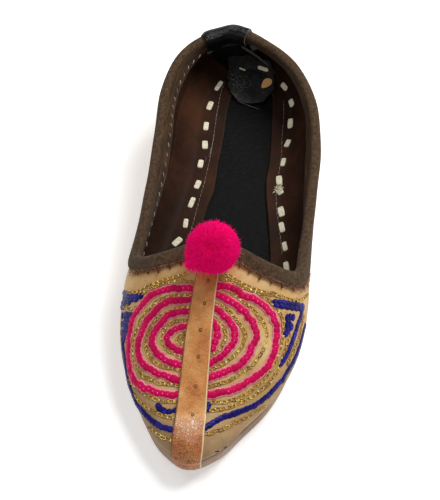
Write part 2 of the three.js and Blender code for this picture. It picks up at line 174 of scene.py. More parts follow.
def unit(a):
    return a / np.maximum(np.linalg.norm(a, axis=-1, keepdims=True), 1e-9)


def last_normal(u, v, step=0.002):
    u, v = np.broadcast_arrays(np.asarray(u, float), np.asarray(v, float))
    along = last_point(u + step, v) - last_point(u - step, v)
    up = last_point(u, np.minimum(v + step * 4, 1)) - last_point(u, np.maximum(v - step * 4, 0))
    n = unit(np.cross(up, along))
    return n * np.where(n[..., 2:] < -0.98, -1, 1)


half_width = last_point(0.355, 0.25)[0]
print("ball half width", round(float(half_width), 2), "mm")

# %% [markdown]
# ## Small tools for laying pieces
# A piece starts as a flat grid. Its corners are moved on to the shoe by a rule that takes how far across and along.
# Thickness, round edges and smoothing are modifiers, applied one after the other.

# %%
def world(points):
    return (np.asarray(points, float) + (0, SHIFT_Y, 0)) * MM


def alone(obj):
    bpy.ops.object.select_all(action="DESELECT")
    obj.select_set(True)
    bpy.context.view_layer.objects.active = obj


def modified(obj, kind, **settings):
    alone(obj)
    bpy.ops.object.modifier_add(type=kind)
    modifier = obj.modifiers[-1]
    for key, value in settings.items():
        setattr(modifier, key, value)
    bpy.ops.object.modifier_apply(modifier=modifier.name)


def merged(obj, outward, distance=0.02):
    """Joins corners that meet, then turns every face the way outward(centres) points."""
    alone(obj)
    bpy.ops.object.mode_set(mode="EDIT")
    bpy.ops.mesh.select_all(action="SELECT")
    bpy.ops.mesh.remove_doubles(threshold=distance * MM)
    bpy.ops.mesh.normals_make_consistent(inside=False)
    bpy.ops.object.mode_set(mode="OBJECT")
    centres = np.array([p.center[:] for p in obj.data.polygons]) / MM - (0, SHIFT_Y, 0)
    facing = np.array([p.normal[:] for p in obj.data.polygons])
    if np.sum(facing * outward(centres)) < 0:
        bpy.ops.object.mode_set(mode="EDIT")
        bpy.ops.mesh.flip_normals()
        bpy.ops.object.mode_set(mode="OBJECT")


def upwards(centres):
    return np.zeros_like(centres) + (0, 0, 1)


def from_inside(centres):
    """Away from a line through the middle of the shoe."""
    line_y = np.clip(centres[:, 1], -85, 90)
    return centres - np.column_stack([0 * line_y, line_y, 0 * line_y + 15])


def corners_of(obj):
    flat = np.empty(len(obj.data.vertices) * 3)
    obj.data.vertices.foreach_get("co", flat)
    return flat.reshape(-1, 3)


def laid(name, columns, rows, place):
    """A grid whose corners go where place(s, t) says, both from 0 to 1."""
    bpy.ops.object.select_all(action="DESELECT")
    bpy.ops.mesh.primitive_grid_add(x_subdivisions=columns, y_subdivisions=rows, size=2)
    obj = bpy.context.object
    obj.name = obj.data.name = name
    s, t = (corners_of(obj)[:, :2].T + 1) / 2
    obj.data.vertices.foreach_set("co", world(place(s, t)).ravel())
    obj.data.update()
    return obj


def smooth(obj, angle=None):
    alone(obj)
    if angle is None:
        bpy.ops.object.shade_smooth()
    else:
        bpy.ops.object.shade_smooth_by_angle(angle=math.radians(angle))


def dressed(obj, *finishes):
    """The first finish is the face, the second what a cut or a back shows."""
    for each in finishes:
        obj.data.materials.append(each.material)


def rounded(obj, bevel, segments=2):
    modified(obj, "BEVEL", width=bevel * MM, segments=segments, limit_method="ANGLE", angle_limit=math.radians(50))


def hide(name, grid, place, outward, finishes, thick, bevel=0, angle=50, offset=-1, segments=2):
    """A laid grid given its leather's thickness and a worn edge."""
    obj = laid(name, *grid, place)
    merged(obj, outward)
    dressed(obj, *finishes)
    modified(obj, "SOLIDIFY", thickness=thick * MM, offset=offset, material_offset_rim=len(finishes) - 1)
    if bevel:
        rounded(obj, bevel, segments)
    smooth(obj, angle)
    return obj


def shown(obj, slot, *nodes):
    """Gives a piece its place on the shoe; the slot of its finish is not used."""
    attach(obj, "root")
    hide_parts(*nodes)
    print(f"{obj.name}: {sum(len(p.vertices) - 2 for p in obj.data.polygons)} triangles")


def worn(obj, finish, slot, *nodes):
    dressed(obj, finish)
    shown(obj, slot, *nodes)


chance = np.random.default_rng(11)


def built(name, corners, faces, tone, around=None):
    """One mesh from plain corners. tone says how light the thread is at each corner."""
    mesh = bpy.data.meshes.new(name)
    mesh.from_pydata(world(corners), [], faces)
    layer = mesh.uv_layers.new(name="UVMap")
    if around is not None:
        layer.data.foreach_set("uv", around)
    shade = mesh.attributes.new("each", "FLOAT", "POINT")
    shade.data.foreach_set("value", tone)
    mesh.update()
    obj = bpy.data.objects.new(name, mesh)
    bpy.context.collection.objects.link(obj)
    smooth(obj)
    return obj


def strewn(name, template, places):
    """Copies of one small shape, each at (origin, along, across, up) with the three arrows as its size in mm."""
    points = np.array([v.co[:] for v in template.data.vertices])
    n, count = len(points), len(places)
    corners = [o + points[:, :1] * a + points[:, 1:2] * b + points[:, 2:] * c for o, a, b, c in places]
    faces = [tuple(i + k * n for i in p.vertices) for k in range(count) for p in template.data.polygons]
    around = np.array([uv.uv[:] for uv in template.data.uv_layers[0].data]).ravel()
    return built(name, np.concatenate(corners), faces, np.repeat(chance.random(count), n), np.tile(around, count))


def tube(points, radii, sides=3):
    """A thin tube through points, closed at both ends."""
    run = unit(np.gradient(points, axis=0))
    side = unit(np.cross(run, (0.31, 0.2, 0.93)))
    other = np.cross(run, side)
    turn = (np.arange(sides) * 2 * math.pi / sides)[None, :, None]
    rings = points[:, None] + radii[:, None, None] * (np.cos(turn) * side[:, None] + np.sin(turn) * other[:, None])
    faces = [
        (r * sides + k, r * sides + (k + 1) % sides, (r + 1) * sides + (k + 1) % sides, (r + 1) * sides + k)
        for r in range(len(points) - 1) for k in range(sides)
    ]
    faces += [tuple(range(sides))[::-1], tuple((len(points) - 1) * sides + k for k in range(sides))]
    return rings.reshape(-1, 3), faces


def strands(name, lines, radius, taper=0.6, sides=3):
    """Many thin tubes as one mesh; each knows its own tone."""
    corners, faces, tone = [], [], []
    count = 0
    for line in lines:
        c, f = tube(np.asarray(line, float), radius * np.linspace(1, taper, len(line)), sides)
        corners.append(c)
        faces += [tuple(i + count for i in g) for g in f]
        count += len(c)
        tone.append(np.full(len(c), chance.random()))
    return built(name, np.concatenate(corners), faces, np.concatenate(tone))


# %% [markdown]
# ## Node tools
# A material here is a few lines. Each line makes one node and says what feeds it.

# %%
def colour(code):
    """A #rrggbb colour as the renderer's linear values."""
    parts = [int(code[i:i + 2], 16) / 255 for i in (1, 3, 5)]
    return tuple(c / 12.92 if c < 0.04 else ((c + 0.055) / 1.055) ** 2.4 for c in parts) + (1.0,)


class Bench:
    """A node tree, with one short word for each thing that is done in it."""

    def __init__(self, tree):
        self.tree = tree

    def put(self, kind, feeds=None, **settings):
        """One node. feeds maps an input's name or number to a value, a #rrggbb colour or another node's output."""
        node = self.tree.nodes.new("ShaderNode" + kind)
        for key, value in settings.items():
            setattr(node, key, value)
        for key, value in (feeds or {}).items():
            if isinstance(value, bpy.types.NodeSocket):
                self.tree.links.new(value, node.inputs[key])
            else:
                node.inputs[key].default_value = colour(value) if isinstance(value, str) else value
        return node.outputs

    def ramp(self, source, *stops):
        out = self.put("ValToRGB", {0: source})[0]
        band = out.node.color_ramp.elements
        while len(band) < len(stops):
            band.new(0.5)
        for element, (place, value) in zip(band, stops):
            element.position = place
            element.color = colour(value) if isinstance(value, str) else (value, value, value, 1)
        return out

    def blend(self, factor, a, b, kind="MIX"):
        return self.put("Mix", {0: factor, 6: a, 7: b}, data_type="RGBA", blend_type=kind)[2]

    def times(self, a, b):
        return self.put("Math", {0: a, 1: b}, operation="MULTIPLY")[0]

    def noise(self, place, scale, detail=2, rough=0.5):
        return self.put("TexNoise", {"Vector": place, "Scale": scale, "Detail": detail, "Roughness": rough})[0]

    def stretched(self, place, scale):
        return self.put("Mapping", {"Vector": place, "Scale": scale})[0]

    def axes(self, place):
        return self.put("SeparateXYZ", {0: place})

    def feed(self, source, name):
        self.tree.links.new(source, self.shader[name])

    def bumped(self, height, strength, reach=0.0004):
        self.feed(self.put("Bump", {"Height": height, "Strength": strength, "Distance": reach})[0], "Normal")


def group(name, inputs, outputs):
    """An empty shared effect with its sockets."""
    tree = bpy.data.node_groups.new(name, "ShaderNodeTree")
    tree.interface.new_socket("Place", in_out="INPUT", socket_type="NodeSocketVector")
    for label, value in inputs:
        tree.interface.new_socket(label, in_out="INPUT", socket_type="NodeSocketFloat").default_value = value
    for label in outputs:
        tree.interface.new_socket(label, in_out="OUTPUT", socket_type="NodeSocketFloat")
    return Bench(tree), tree.nodes.new("NodeGroupInput").outputs, tree.nodes.new("NodeGroupOutput").inputs


def finish(name, roughness, **settings):
    """A material with its shader and the two coordinates that patterns are laid by."""
    material = bpy.data.materials.new(name)
    material.use_nodes = True
    bench = Bench(material.node_tree)
    bench.material = material
    bench.shader = bench.tree.nodes["Principled BSDF"].inputs
    bench.shader["Roughness"].default_value = roughness
    for key, value in settings.items():
        bench.shader[key.replace("_", " ")].default_value = value
    coordinates = bench.put("TexCoord")
    bench.place, bench.around = coordinates["Object"], coordinates["UV"]
    return bench


# %% [markdown]
# ## Leather grain and wear
# Grain is a skin of small cells with fine pores. Wear is a slow, cloudy change of tone with darker rubbed spots.
# Both are shared, so one leather differs from the next in cell size, depth and colours only.

# %%
def make_grain():
    b, i, o = group("leather_grain", [("Cells", 900)], ["Height", "Pores"])
    warp = b.put("TexNoise", {"Vector": i["Place"], "Scale": 300, "Detail": 2})["Color"]
    bent = b.blend(0.004, i["Place"], warp, "LINEAR_LIGHT")
    cell = b.put("TexVoronoi", {"Vector": bent, "Scale": i["Cells"]}, feature="F1")["Distance"]
    fine = b.noise(bent, b.times(i["Cells"], 3), 3)
    b.tree.links.new(b.blend(0.35, cell, fine), o["Height"])
    b.tree.links.new(b.ramp(fine, (0.60, 0.0), (0.72, 1.0)), o["Pores"])
    return b.tree


def make_wear():
    b, i, o = group("leather_wear", [("Size", 45)], ["Cloud", "Rub"])
    cloud = b.noise(i["Place"], i["Size"], 6, 0.62)
    rub = b.noise(i["Place"], b.times(i["Size"], 6), 8, 0.7)
    b.tree.links.new(b.ramp(cloud, (0.32, 0.0), (0.68, 1.0)), o["Cloud"])
    b.tree.links.new(b.ramp(rub, (0.55, 0.0), (0.70, 1.0)), o["Rub"])
    return b.tree


def make_nap():
    b, i, o = group("fibre_nap", [("Fineness", 2200)], ["Height", "Tone"])
    hair = b.noise(i["Place"], i["Fineness"], 4, 0.8)
    tuft = b.noise(i["Place"], 640, 5, 0.7)
    b.tree.links.new(b.blend(0.45, hair, tuft), o["Height"])
    b.tree.links.new(b.ramp(tuft, (0.35, 0.0), (0.66, 1.0)), o["Tone"])
    return b.tree


grain, wear, nap = make_grain(), make_wear(), make_nap()


def leather(name, dark, mid, light, rough, cells=900, depth=0.35, coat=0.0, cloud=45, spots="#3a2412", rubbed=0.35,
            gloss=0.35):
    b = finish(name, rough, Coat_Weight=coat, Coat_Roughness=0.3, Specular_IOR_Level=gloss)
    skin = b.put("Group", {"Place": b.place, "Cells": cells}, node_tree=grain)
    use = b.put("Group", {"Place": b.place, "Size": cloud}, node_tree=wear)
    tone = b.ramp(use["Cloud"], (0.0, dark), (0.5, mid), (1.0, light))
    tone = b.blend(b.times(use["Rub"], rubbed), tone, spots)
    b.tone = b.blend(b.times(skin["Pores"], 0.35), tone, spots)
    b.feed(b.tone, "Base Color")
    b.feed(b.put("MapRange", {0: use["Cloud"], 3: rough - 0.08, 4: rough + 0.1})[0], "Roughness")
    b.bumped(skin["Height"], depth)
    return b


def suede(name, dark, light, fineness=2200, sheen=0.0, depth=0.6):
    b = finish(name, 0.95, Sheen_Weight=sheen, Sheen_Roughness=0.5, Specular_IOR_Level=0.15)
    fuzz = b.put("Group", {"Place": b.place, "Fineness": fineness}, node_tree=nap)
    tone = b.ramp(fuzz["Tone"], (0.0, dark), (1.0, light))
    b.tone = b.blend(0.35, tone, b.ramp(fuzz["Height"], (0.35, dark), (0.7, light)))
    b.feed(b.tone, "Base Color")
    b.bumped(fuzz["Height"], depth)
    return b


def thread(name, dark, mid, light, rough=0.5, metal=0.0, gloss=0.25, glow=0.0, fleck_highlight=None, crown_highlight=None):
    """Plied thread: turns wind round each stitch and each stitch has its own tone. Pale specks or one spot at each
    stitch's top are painted highlights, and glow is painted light in the thread's own tone.
    """
    b = finish(name, rough, Metallic=metal, Specular_IOR_Level=gloss, Emission_Strength=glow)
    winding = {"Vector": b.around, "Scale": 4.14, "Distortion": 1.5}
    turns = b.put("TexWave", winding, bands_direction="DIAGONAL")["Fac"]
    each = b.put("Attribute", attribute_name="each")["Fac"]
    tone = b.ramp(each, (0.0, dark), (0.45, mid), (1.0, light))
    tone = b.blend(0.35, tone, b.ramp(turns, (0.1, dark), (0.9, light)))
    if fleck_highlight:
        tone = b.blend(b.ramp(b.noise(b.place, 800), (0.56, 0.0), (0.64, 1.0)), tone, fleck_highlight)
    if crown_highlight:
        centred = b.put("Mapping", {"Vector": b.around, "Location": (-12.6, -9, 0), "Scale": (28, 18, 0)})[0]
        away = b.put("VectorMath", {0: centred}, operation="LENGTH")["Value"]
        crown_mask = b.times(b.ramp(away, (0.35, 0.9), (0.9, 0.0)), b.ramp(each, (0.35, 0.1), (0.9, 1.0)))
        tone = b.blend(crown_mask, tone, crown_highlight)
    b.feed(tone, "Base Color")
    # The emission in the thread's own tone is painted light.
    b.feed(tone, "Emission Color")
    b.bumped(turns, 0.5, 0.0002)
    return b


def glowing(b, tint, strength):
    b.shader["Emission Color"].default_value = tint + (1,)
    b.shader["Emission Strength"].default_value = strength
    return b


vamp_tan = leather("vamp_tan", "#bc9058", "#d2a86e", "#dfbd84", 0.55, cells=1300, depth=0.22, cloud=60)
lining_brown = leather("lining_brown", "#1c100a", "#2d1a10", "#412617", 0.6, cells=1100, depth=0.3, cloud=34,
                       gloss=0.08)
# The heel patch's pale spots are painted glossy specks in its pores.
patch_black = leather("patch_black", "#1a1a1a", "#222222", "#2c2c2c", 0.5, cells=1000, depth=0.7, coat=0.1,
                      spots="#6e6a66", gloss=0.2)
insole_black = leather("insole_black", "#040404", "#080808", "#0f0e0e", 0.6, cells=1500, depth=0.7, spots="#1e1c1a",
                       gloss=0.1)
tab_black = leather("tab_black", "#050505", "#080808", "#101010", 0.30, cells=700, depth=0.8, coat=0.1,
                    spots="#2a2826", rubbed=0.12, gloss=0.22)
strip_tan = leather("strip_tan", "#bc6c30", "#dc964e", "#ecb474", 0.4, cells=1500, depth=0.9, coat=0.2, cloud=95,
                    spots="#8c4a1e", rubbed=0.55)
sole_tan = leather("sole_tan", "#8a6f5c", "#a58a76", "#b59c88", 0.75, cells=700, depth=0.4, cloud=35)
lift_tan = leather("lift_tan", "#6d4c34", "#84603f", "#967250", 0.75, cells=700, depth=0.4, cloud=35)
# The scrap's glow is painted light, to keep it bright in the shade at the heel.
scrap_tan = glowing(suede("scrap_tan", "#b07c44", "#e4b878"), (0.6, 0.34, 0.14), 0.16)
raw_edge = suede("raw_edge", "#8d6a48", "#c9a983", fineness=3000)
margin_edge = suede("margin_edge", "#2a1a10", "#6a5236", fineness=3000)
binding_felt = suede("binding_felt", "#2c2016", "#5e4a36", sheen=0.05)
trim_rust = suede("trim_rust", "#34160c", "#7c4630")
# The rawhide's glow is painted light, to keep the thongs bright in the shade inside the shoe.
rawhide = glowing(suede("rawhide", "#b4ac90", "#ece6ce", fineness=1500, depth=0.5), (0.8, 0.74, 0.58), 0.1)
# Dark rings under the gold loops: painted shadow between the wire and the leather.
gold_shadow = suede("gold_shadow", "#401a06", "#7a4018", fineness=3000)
tab_edge = suede("tab_edge", "#4a4642", "#8a847c")
# Dark for the tacking holes, where it is painted shade, and for the toe's real scuffs.
hole_shade_and_scuff = suede("hole_shade_and_scuff", "#180a04", "#3a1c0c")
# Thread glow is painted light in each thread's own colour; the crown and fleck tones are painted highlights.
pink_thread = thread("pink_thread", "#a4003c", "#c2004c", "#d00056", 0.4, gloss=0.12, glow=0.12, crown_highlight="#ff8cb4")
pink_fuzz = thread("pink_fuzz", "#cc6a78", "#dc8490", "#eca4a8", 0.9, gloss=0.0, glow=0.05)
blue_thread = thread("blue_thread", "#0a0640", "#140c58", "#241c84", 0.25, gloss=0.14, glow=0.06, crown_highlight="#5450c4")
stitch_thread = thread("stitch_thread", "#6a5c54", "#a09082", "#d8ccc0", 0.6)
pale_thread = thread("pale_thread", "#5c5350", "#756a66", "#9a8f88", 0.7)
gold_wire = thread("gold_wire", "#6a3408", "#cc8826", "#ffda68", 0.3, 0.3, gloss=0.4, glow=0.2, fleck_highlight="#fff0a0")
pompom_yarn = thread("pompom_yarn", "#c8004e", "#ea0066", "#ff1a82", 0.9, gloss=0.03, glow=0.24)
trim_fibre = thread("trim_fibre", "#4a2412", "#94583a", "#dcae8c", 0.6)
copper_thread = thread("copper_thread", "#4a2410", "#9a5a30", "#e0a070", 0.35, 0.6)

# %% [markdown]
# ## Wear and painted light on each hide
# A plain finish is drawn over: dust and painted shade near the floor and the toe, a net of stretched grain over the
# toe with a painted highlight and shadow on the strip, a streaked inner leg, painted glossy specks on the heel patch.
# Patterns read the place on the shoe, or a piece's own width and length.

# %%
# The vamp darkens towards a grey brown, part dust and part painted shade, near the floor and towards the toe: each
# coordinate passes from its clear to its dim value, in metres.
vamp_axes = vamp_tan.axes(vamp_tan.place)
patchy = vamp_tan.ramp(vamp_tan.noise(vamp_tan.place, 70, 5), (0.3, 0.55), (0.7, 1.0))
dust_and_shade = vamp_tan.tone
for axis, clear_at, dim_at in ((2, 0.026, 0.009), (1, -0.082, -0.122)):
    reach = vamp_tan.put("MapRange", {0: vamp_axes[axis], 1: clear_at, 2: dim_at, 4: 0.7})[0]
    dust_and_shade = vamp_tan.blend(vamp_tan.times(reach, patchy), dust_and_shade, "#6f5a49")
vamp_tan.feed(dust_and_shade, "Base Color")

# The tab's cut end is grey on the right and black on the left.
b = tab_edge
b.feed(b.blend(b.ramp(b.axes(b.around)[0], (0.6, 0.0), (0.9, 1.0)), "#0c0b0a", b.tone), "Base Color")

# The binding's inner leg is streaked along its length.
b = binding_felt
streaks = b.noise(b.stretched(b.around, (34, 40, 1)), 1, 6)
streaks = b.ramp(streaks, (0.38, "#24160b"), (0.5, "#40290f"), (0.64, "#6a4c2c"))
b.feed(b.blend(b.ramp(b.axes(b.around)[1], (0.5, 0.0), (0.62, 1.0)), b.tone, streaks), "Base Color")

# The strip's grain is stretched open over the toe: a dark net on a redder ground. Where it bends, a lighter band and
# pale specks are a painted highlight. Its left edge is darkened as a painted shadow line; its right edge is pale and
# raw.
b = strip_tan
side, length, _ = b.axes(b.around)
net = b.put("TexVoronoi", {"Vector": b.place, "Scale": 900}, feature="DISTANCE_TO_EDGE")["Distance"]
net = b.ramp(net, (0.02, 1.0), (0.16, 0.0))
toe = b.ramp(length, (0.05, 0.9), (0.13, 0.75), (0.22, 0.2), (1.0, 0.16))
# bend is a painted highlight band where the strip turns over the toe, and the pale specks in it are painted glints.
bend = b.ramp(length, (0.10, 0.0), (0.15, 1.0), (0.19, 0.9), (0.26, 0.0))
bend = b.times(bend, b.ramp(b.noise(b.place, 210, 1), (0.38, 0.15), (0.6, 1.0)))
highlight_flecks = b.times(b.ramp(b.noise(b.place, 1500, 3), (0.56, 0.0), (0.64, 1.0)), bend)
tone = b.tone
for mask, tint in (
    (b.times(toe, 0.55), "#bc6c38"), (b.times(net, toe), "#7c3a18"), (b.times(bend, 0.45), "#e0b494"),
    (highlight_flecks, "#fff0dc"), (b.ramp(side, (0.02, 0.85), (0.055, 0.0)), "#4a2410"),
    (b.ramp(side, (0.945, 0.0), (0.96, 0.9)), "#ecd0a4"),
):
    tone = b.blend(mask, tone, tint)
b.feed(tone, "Base Color")

# The heel patch has painted highlight specks on its left.
b = patch_black
patch_across, patch_up, _ = b.axes(b.around)
painted_shine = b.ramp(b.noise(b.place, 2000), (0.55, 0.0), (0.66, 1.0))
painted_shine = b.times(painted_shine, b.ramp(patch_across, (0.02, 0.2), (0.12, 0.9), (0.32, 0.6), (0.55, 0.12)))
painted_shine = b.times(painted_shine, b.ramp(patch_up, (0.2, 0.1), (0.5, 1.0), (0.68, 0.8), (0.8, 0.0)))
b.feed(b.blend(painted_shine, b.tone, "#d8d8d8"), "Base Color")

# The insole's face is drawn into fine wrinkles across the foot.
b = insole_black
b.bumped(b.noise(b.stretched(b.place, (260, 900, 400)), 1, 4), 0.9, 0.0006)

# %% [markdown]
# ## The collar's line
# The mouth of the shoe follows one closed line: low along the sides, round a corner, and over the vamp with a small
# peak.
# It is solved on the surface, so every piece that follows the mouth starts from the same line.

# %%
COLLAR = [
    (150, 45.5), (118, 44.0), (96, 42.8), (72, 40.2), (46, 36.6), (20, 33.8), (-4, 31.6),
    (THROAT_Y + CORNER_RADIUS, CORNER_Z),
]
station = np.linspace(0.02, 0.5, 800)
station_y = last_point(station, 0.7)[:, 1]


def collar_height(y):
    ys, zs = np.array(COLLAR[::-1]).T
    return np.interp(y, ys, zs)


def peak(x):
    """How far the mouth's front edge swells back at x."""
    return PEAK_RISE * np.where(np.abs(x) < PEAK_HALF, (1 + np.cos(np.pi * x / PEAK_HALF)) / 2, 0)


def column_at(y):
    return np.interp(-np.asarray(y), -station_y, station)


def solved(above, count):
    """The height up each rib at which above(v) first holds."""
    low, high = np.zeros(count), np.ones(count)
    for _ in range(26):
        middle = (low + high) / 2
        over = above(middle)
        high = np.where(over, middle, high)
        low = np.where(over, low, middle)
    return high


SIDE_POINTS = 110


def side_line(sign):
    """The collar on one side, from behind the heel to the middle of the peak, as (u, v)."""
    def turned(u):
        return u if sign > 0 else 1 - u
    def over_side(m):
        p = last_point(turned(u), m)
        return p[:, 2] > collar_height(p[:, 1])
    u = np.linspace(0, float(column_at(THROAT_Y + CORNER_RADIUS)), SIDE_POINTS)
    v = solved(over_side, len(u))
    turn = np.radians(np.linspace(5, 90, 16))
    corner_y = THROAT_Y + CORNER_RADIUS - CORNER_RADIUS * np.sin(turn)
    corner_z = CORNER_Z + CORNER_RADIUS - CORNER_RADIUS * np.cos(turn)
    cu = column_at(corner_y)
    cv = solved(lambda m: last_point(turned(cu), m)[:, 2] > corner_z, len(cu))
    edge_x = abs(float(last_point(turned(cu[-1:]), cv[-1:])[0, 0]))
    x = np.linspace(edge_x - 1, 0, 40)
    pu = column_at(THROAT_Y + peak(x))
    pv = solved(lambda m: sign * last_point(turned(pu), m)[:, 0] < x, len(pu))
    return turned(np.concatenate([u, cu, pu])), np.concatenate([v, cv, pv])


def resampled(points, count, closed=True):
    ring = np.vstack([points, points[:1]]) if closed else np.asarray(points)
    run = np.concatenate([[0], np.cumsum(np.linalg.norm(np.diff(ring, axis=0), axis=1))])
    at = np.linspace(0, run[-1], count + (1 if closed else 0))[:count]
    return np.stack([np.interp(at, run, ring[:, k]) for k in range(ring.shape[1])], axis=1), run[-1]


right_u, right_v = side_line(1)
left_u, left_v = side_line(-1)
whole = np.concatenate([last_point(right_u, right_v), last_point(left_u, left_v)[::-1][1:-1]])
for _ in range(3):
    whole = (np.roll(whole, 1, 0) + 2 * whole + np.roll(whole, -1, 0)) / 4
collar, collar_length = resampled(whole, 480)
print("collar line", round(float(collar_length)), "mm round")

# %% [markdown]
# ## Standing on the leather
# A fine net of the last answers one question: which point of the leather is nearest, and which way is out there.
# Stitches, bindings and straps all ask it, so they lie on the leather wherever it curves.

# %%
NET_U, NET_V = 720, 96
net_u, net_v = np.meshgrid(np.arange(NET_U) / NET_U, np.linspace(0, 1, NET_V + 1), indexing="ij")
net = last_point(net_u, net_v)
net_columns = [(i * (NET_V + 1), (i + 1) % NET_U * (NET_V + 1)) for i in range(NET_U)]
net_faces = [(a + j, a + j + 1, b + j + 1, b + j) for a, b in net_columns for j in range(NET_V)]
leather_net = BVHTree.FromPolygons(net.reshape(-1, 3).tolist(), net_faces)


def on_leather(points):
    """The nearest points of the leather's outside and the way out there."""
    found = [leather_net.find_nearest(p)[:2] for p in np.asarray(points, float).reshape(-1, 3).tolist()]
    place = np.array([f[0][:] for f in found])
    out = np.array([f[1][:] for f in found])
    return place.reshape(np.shape(points)), out.reshape(np.shape(points))


_, collar_out = on_leather(collar)
for _ in range(6):
    collar_out = unit(np.roll(collar_out, 1, 0) + collar_out * 2 + np.roll(collar_out, -1, 0))
collar_run = unit(np.roll(collar, -1, 0) - np.roll(collar, 1, 0))
collar_down = unit(np.cross(collar_out, collar_run))
if collar_down[0, 2] > 0:
    collar_down = -collar_down
print("net faces", len(net_faces), "out at the heel", np.round(collar_out[0], 2), "down", np.round(collar_down[0], 2))


def along_collar(s, down, lift):
    """Points that follow the collar: s round the line, down the leather and lift off it, in millimetres."""
    at = np.asarray(s) * len(collar)
    i = np.floor(at).astype(int)
    w = (at - i)[:, None]
    i, j = i % len(collar), (i + 1) % len(collar)
    base = collar[i] * (1 - w) + collar[j] * w
    out = unit(collar_out[i] * (1 - w) + collar_out[j] * w)
    fall = unit(collar_down[i] * (1 - w) + collar_down[j] * w)
    down, lift = np.broadcast_to(down, at.shape), np.broadcast_to(lift, at.shape)
    lying = down > 0.5
    points = base + fall * down[:, None]
    if lying.any():
        points[lying], out[lying] = on_leather(points[lying])
    return points + out * lift[:, None]


def profile(t, stops):
    """Walks an outline of (down, lift) stops, t from 0 to 1 along its length."""
    stops = np.array(stops, float)
    run = np.concatenate([[0], np.cumsum(np.linalg.norm(np.diff(stops, axis=0), axis=1))])
    return np.interp(t * run[-1], run, stops[:, 0]), np.interp(t * run[-1], run, stops[:, 1])


# %% [markdown]
# ## The upper
# One hide wraps the foot. It is laid as a net of ribs, cut along the collar and given the leather's real thickness
# inwards.
# The creases are where a foot has bent it: across the vamp's corners, beside the heel and round the toe.

# %%
CREASES = [
    ((-36, -22, 20), (-24, -36, 39), 7, 0.9), ((37, -24, 20), (27, -38, 37), 7, 0.8),
    ((-41, -8, 10), (-43, -30, 16), 6, 0.7), ((42, -8, 9), (42, -34, 13), 6, 0.6),
    ((-25, 60, 16), (-26, 88, 30), 9, 1.1), ((25, 62, 16), (27, 92, 30), 9, 1.0),
    ((-29, 20, 14), (-31, 48, 24), 8, 0.8), ((29, 22, 14), (31, 50, 24), 8, 0.8),
    ((9, 118, 14), (14, 112, 36), 6, 0.6), ((-14, 113, 14), (-9, 118, 34), 6, 0.6),
    ((16, -104, 12), (22, -97, 15), 4, 0.5), ((-22, -100, 12), (-16, -106, 13), 4, 0.5),
    ((9, -107, 16), (13, -103, 18.5), 2.5, 0.4), ((26, -92, 11), (29, -87, 17), 4, 0.4),
    ((-20, -44, 41), (-30, -58, 33), 8, -0.5), ((18, -50, 38), (29, -60, 28), 8, -0.5),
]


def creased(points, out):
    """Soft troughs, or ridges where the depth is negative, along each listed line."""
    moved = points.copy()
    for start, end, width, depth in CREASES:
        a, b = np.array(start, float), np.array(end, float)
        along = np.clip(((points - a) @ (b - a)) / ((b - a) @ (b - a)), 0, 1)
        away = np.linalg.norm(points - a - along[:, None] * (b - a), axis=1) / width
        moved -= out * (depth * (np.exp(-4 * away ** 2) - 0.35 * np.exp(-1.6 * away ** 2)))[:, None]
    return moved


def lay_upper(s, t):
    u, v = 1 - s, t
    return creased(last_point(u, v), last_normal(u, v))


upper = laid("upper_leather", 400, 66, lay_upper)
print("upper laid", len(upper.data.vertices))

# %% [markdown]
# ## Cutting the mouth and giving the hide its thickness
# Faces above the collar's line go. The line where the two sides meet along the ridge is joined.
# Thickness goes inwards, and what faces the foot takes the dark lining.

# %%
TUCKED = 0.4


def above_line(points):
    """True where a point is in the mouth, with the cut kept just under the binding's fold."""
    x, y, z = points.T
    rise = np.sqrt(np.clip(CORNER_RADIUS ** 2 - (y - THROAT_Y - CORNER_RADIUS) ** 2, 0, None))
    edge_z = np.where(y < THROAT_Y + CORNER_RADIUS, CORNER_Z + CORNER_RADIUS - rise, collar_height(y))
    return (z > edge_z - TUCKED) & (y > THROAT_Y + peak(x) - TUCKED)


high_up = above_line(corners_of(upper) / MM - (0, SHIFT_Y, 0))
alone(upper)
bpy.ops.object.mode_set(mode="EDIT")
bpy.ops.mesh.select_all(action="DESELECT")
bpy.ops.object.mode_set(mode="OBJECT")
upper.data.vertices.foreach_set("select", high_up)
bpy.ops.object.mode_set(mode="EDIT")
bpy.ops.mesh.select_mode(type="VERT")
bpy.ops.mesh.delete(type="VERT")
bpy.ops.object.mode_set(mode="OBJECT")
merged(upper, from_inside, 0.05)
dressed(upper, vamp_tan, lining_brown)
modified(upper, "SOLIDIFY", thickness=WALL * MM, offset=-1, use_rim=True, material_offset=1, material_offset_rim=1)
smooth(upper)
shown(upper, "vamp_leather", "upper")

# %% [markdown]
# ## Sole, heel and insole
# Each is a plate cut to the shoe's plan. The outsole shows a thin line past the upper; the heel is one flat lift.

# %%
def outline(s, side, grow):
    """The foot line in plan, grown sideways, side 0 left and 1 right."""
    u = np.where(side > 0.5, s / 2, 1 - s / 2)
    p = last_point(u, 0)
    run = last_point(u + 0.002, 0) - last_point(u - 0.002, 0)
    out = unit(np.stack([-run[:, 1], run[:, 0], 0 * run[:, 0]], axis=1))
    return p[:, :2] + out[:, :2] * grow


def plate(name, grid, finish, grow, top, thick, keep=(0, 1), swell=lambda s, t: 0):
    """A plate as wide as the shoe's plan, keep says how much of its length is wanted."""
    def place(s, t):
        s = 0.012 + 0.976 * (0.5 * s + 0.5 * (0.5 - np.cos(np.pi * s) / 2))
        s = keep[0] + s * (keep[1] - keep[0])
        p = outline(s, s * 0, grow) * (1 - t)[:, None] + outline(s, s * 0 + 1, grow) * t[:, None]
        return np.column_stack([p, top(p[:, 1]) + swell(s, t)])
    return hide(name, grid, place, upwards, [finish], thick, 0.5, 40, segments=3)


def insole_sag(s, t):
    return -0.5 * np.sin(np.pi * t) * np.sin(np.pi * s)


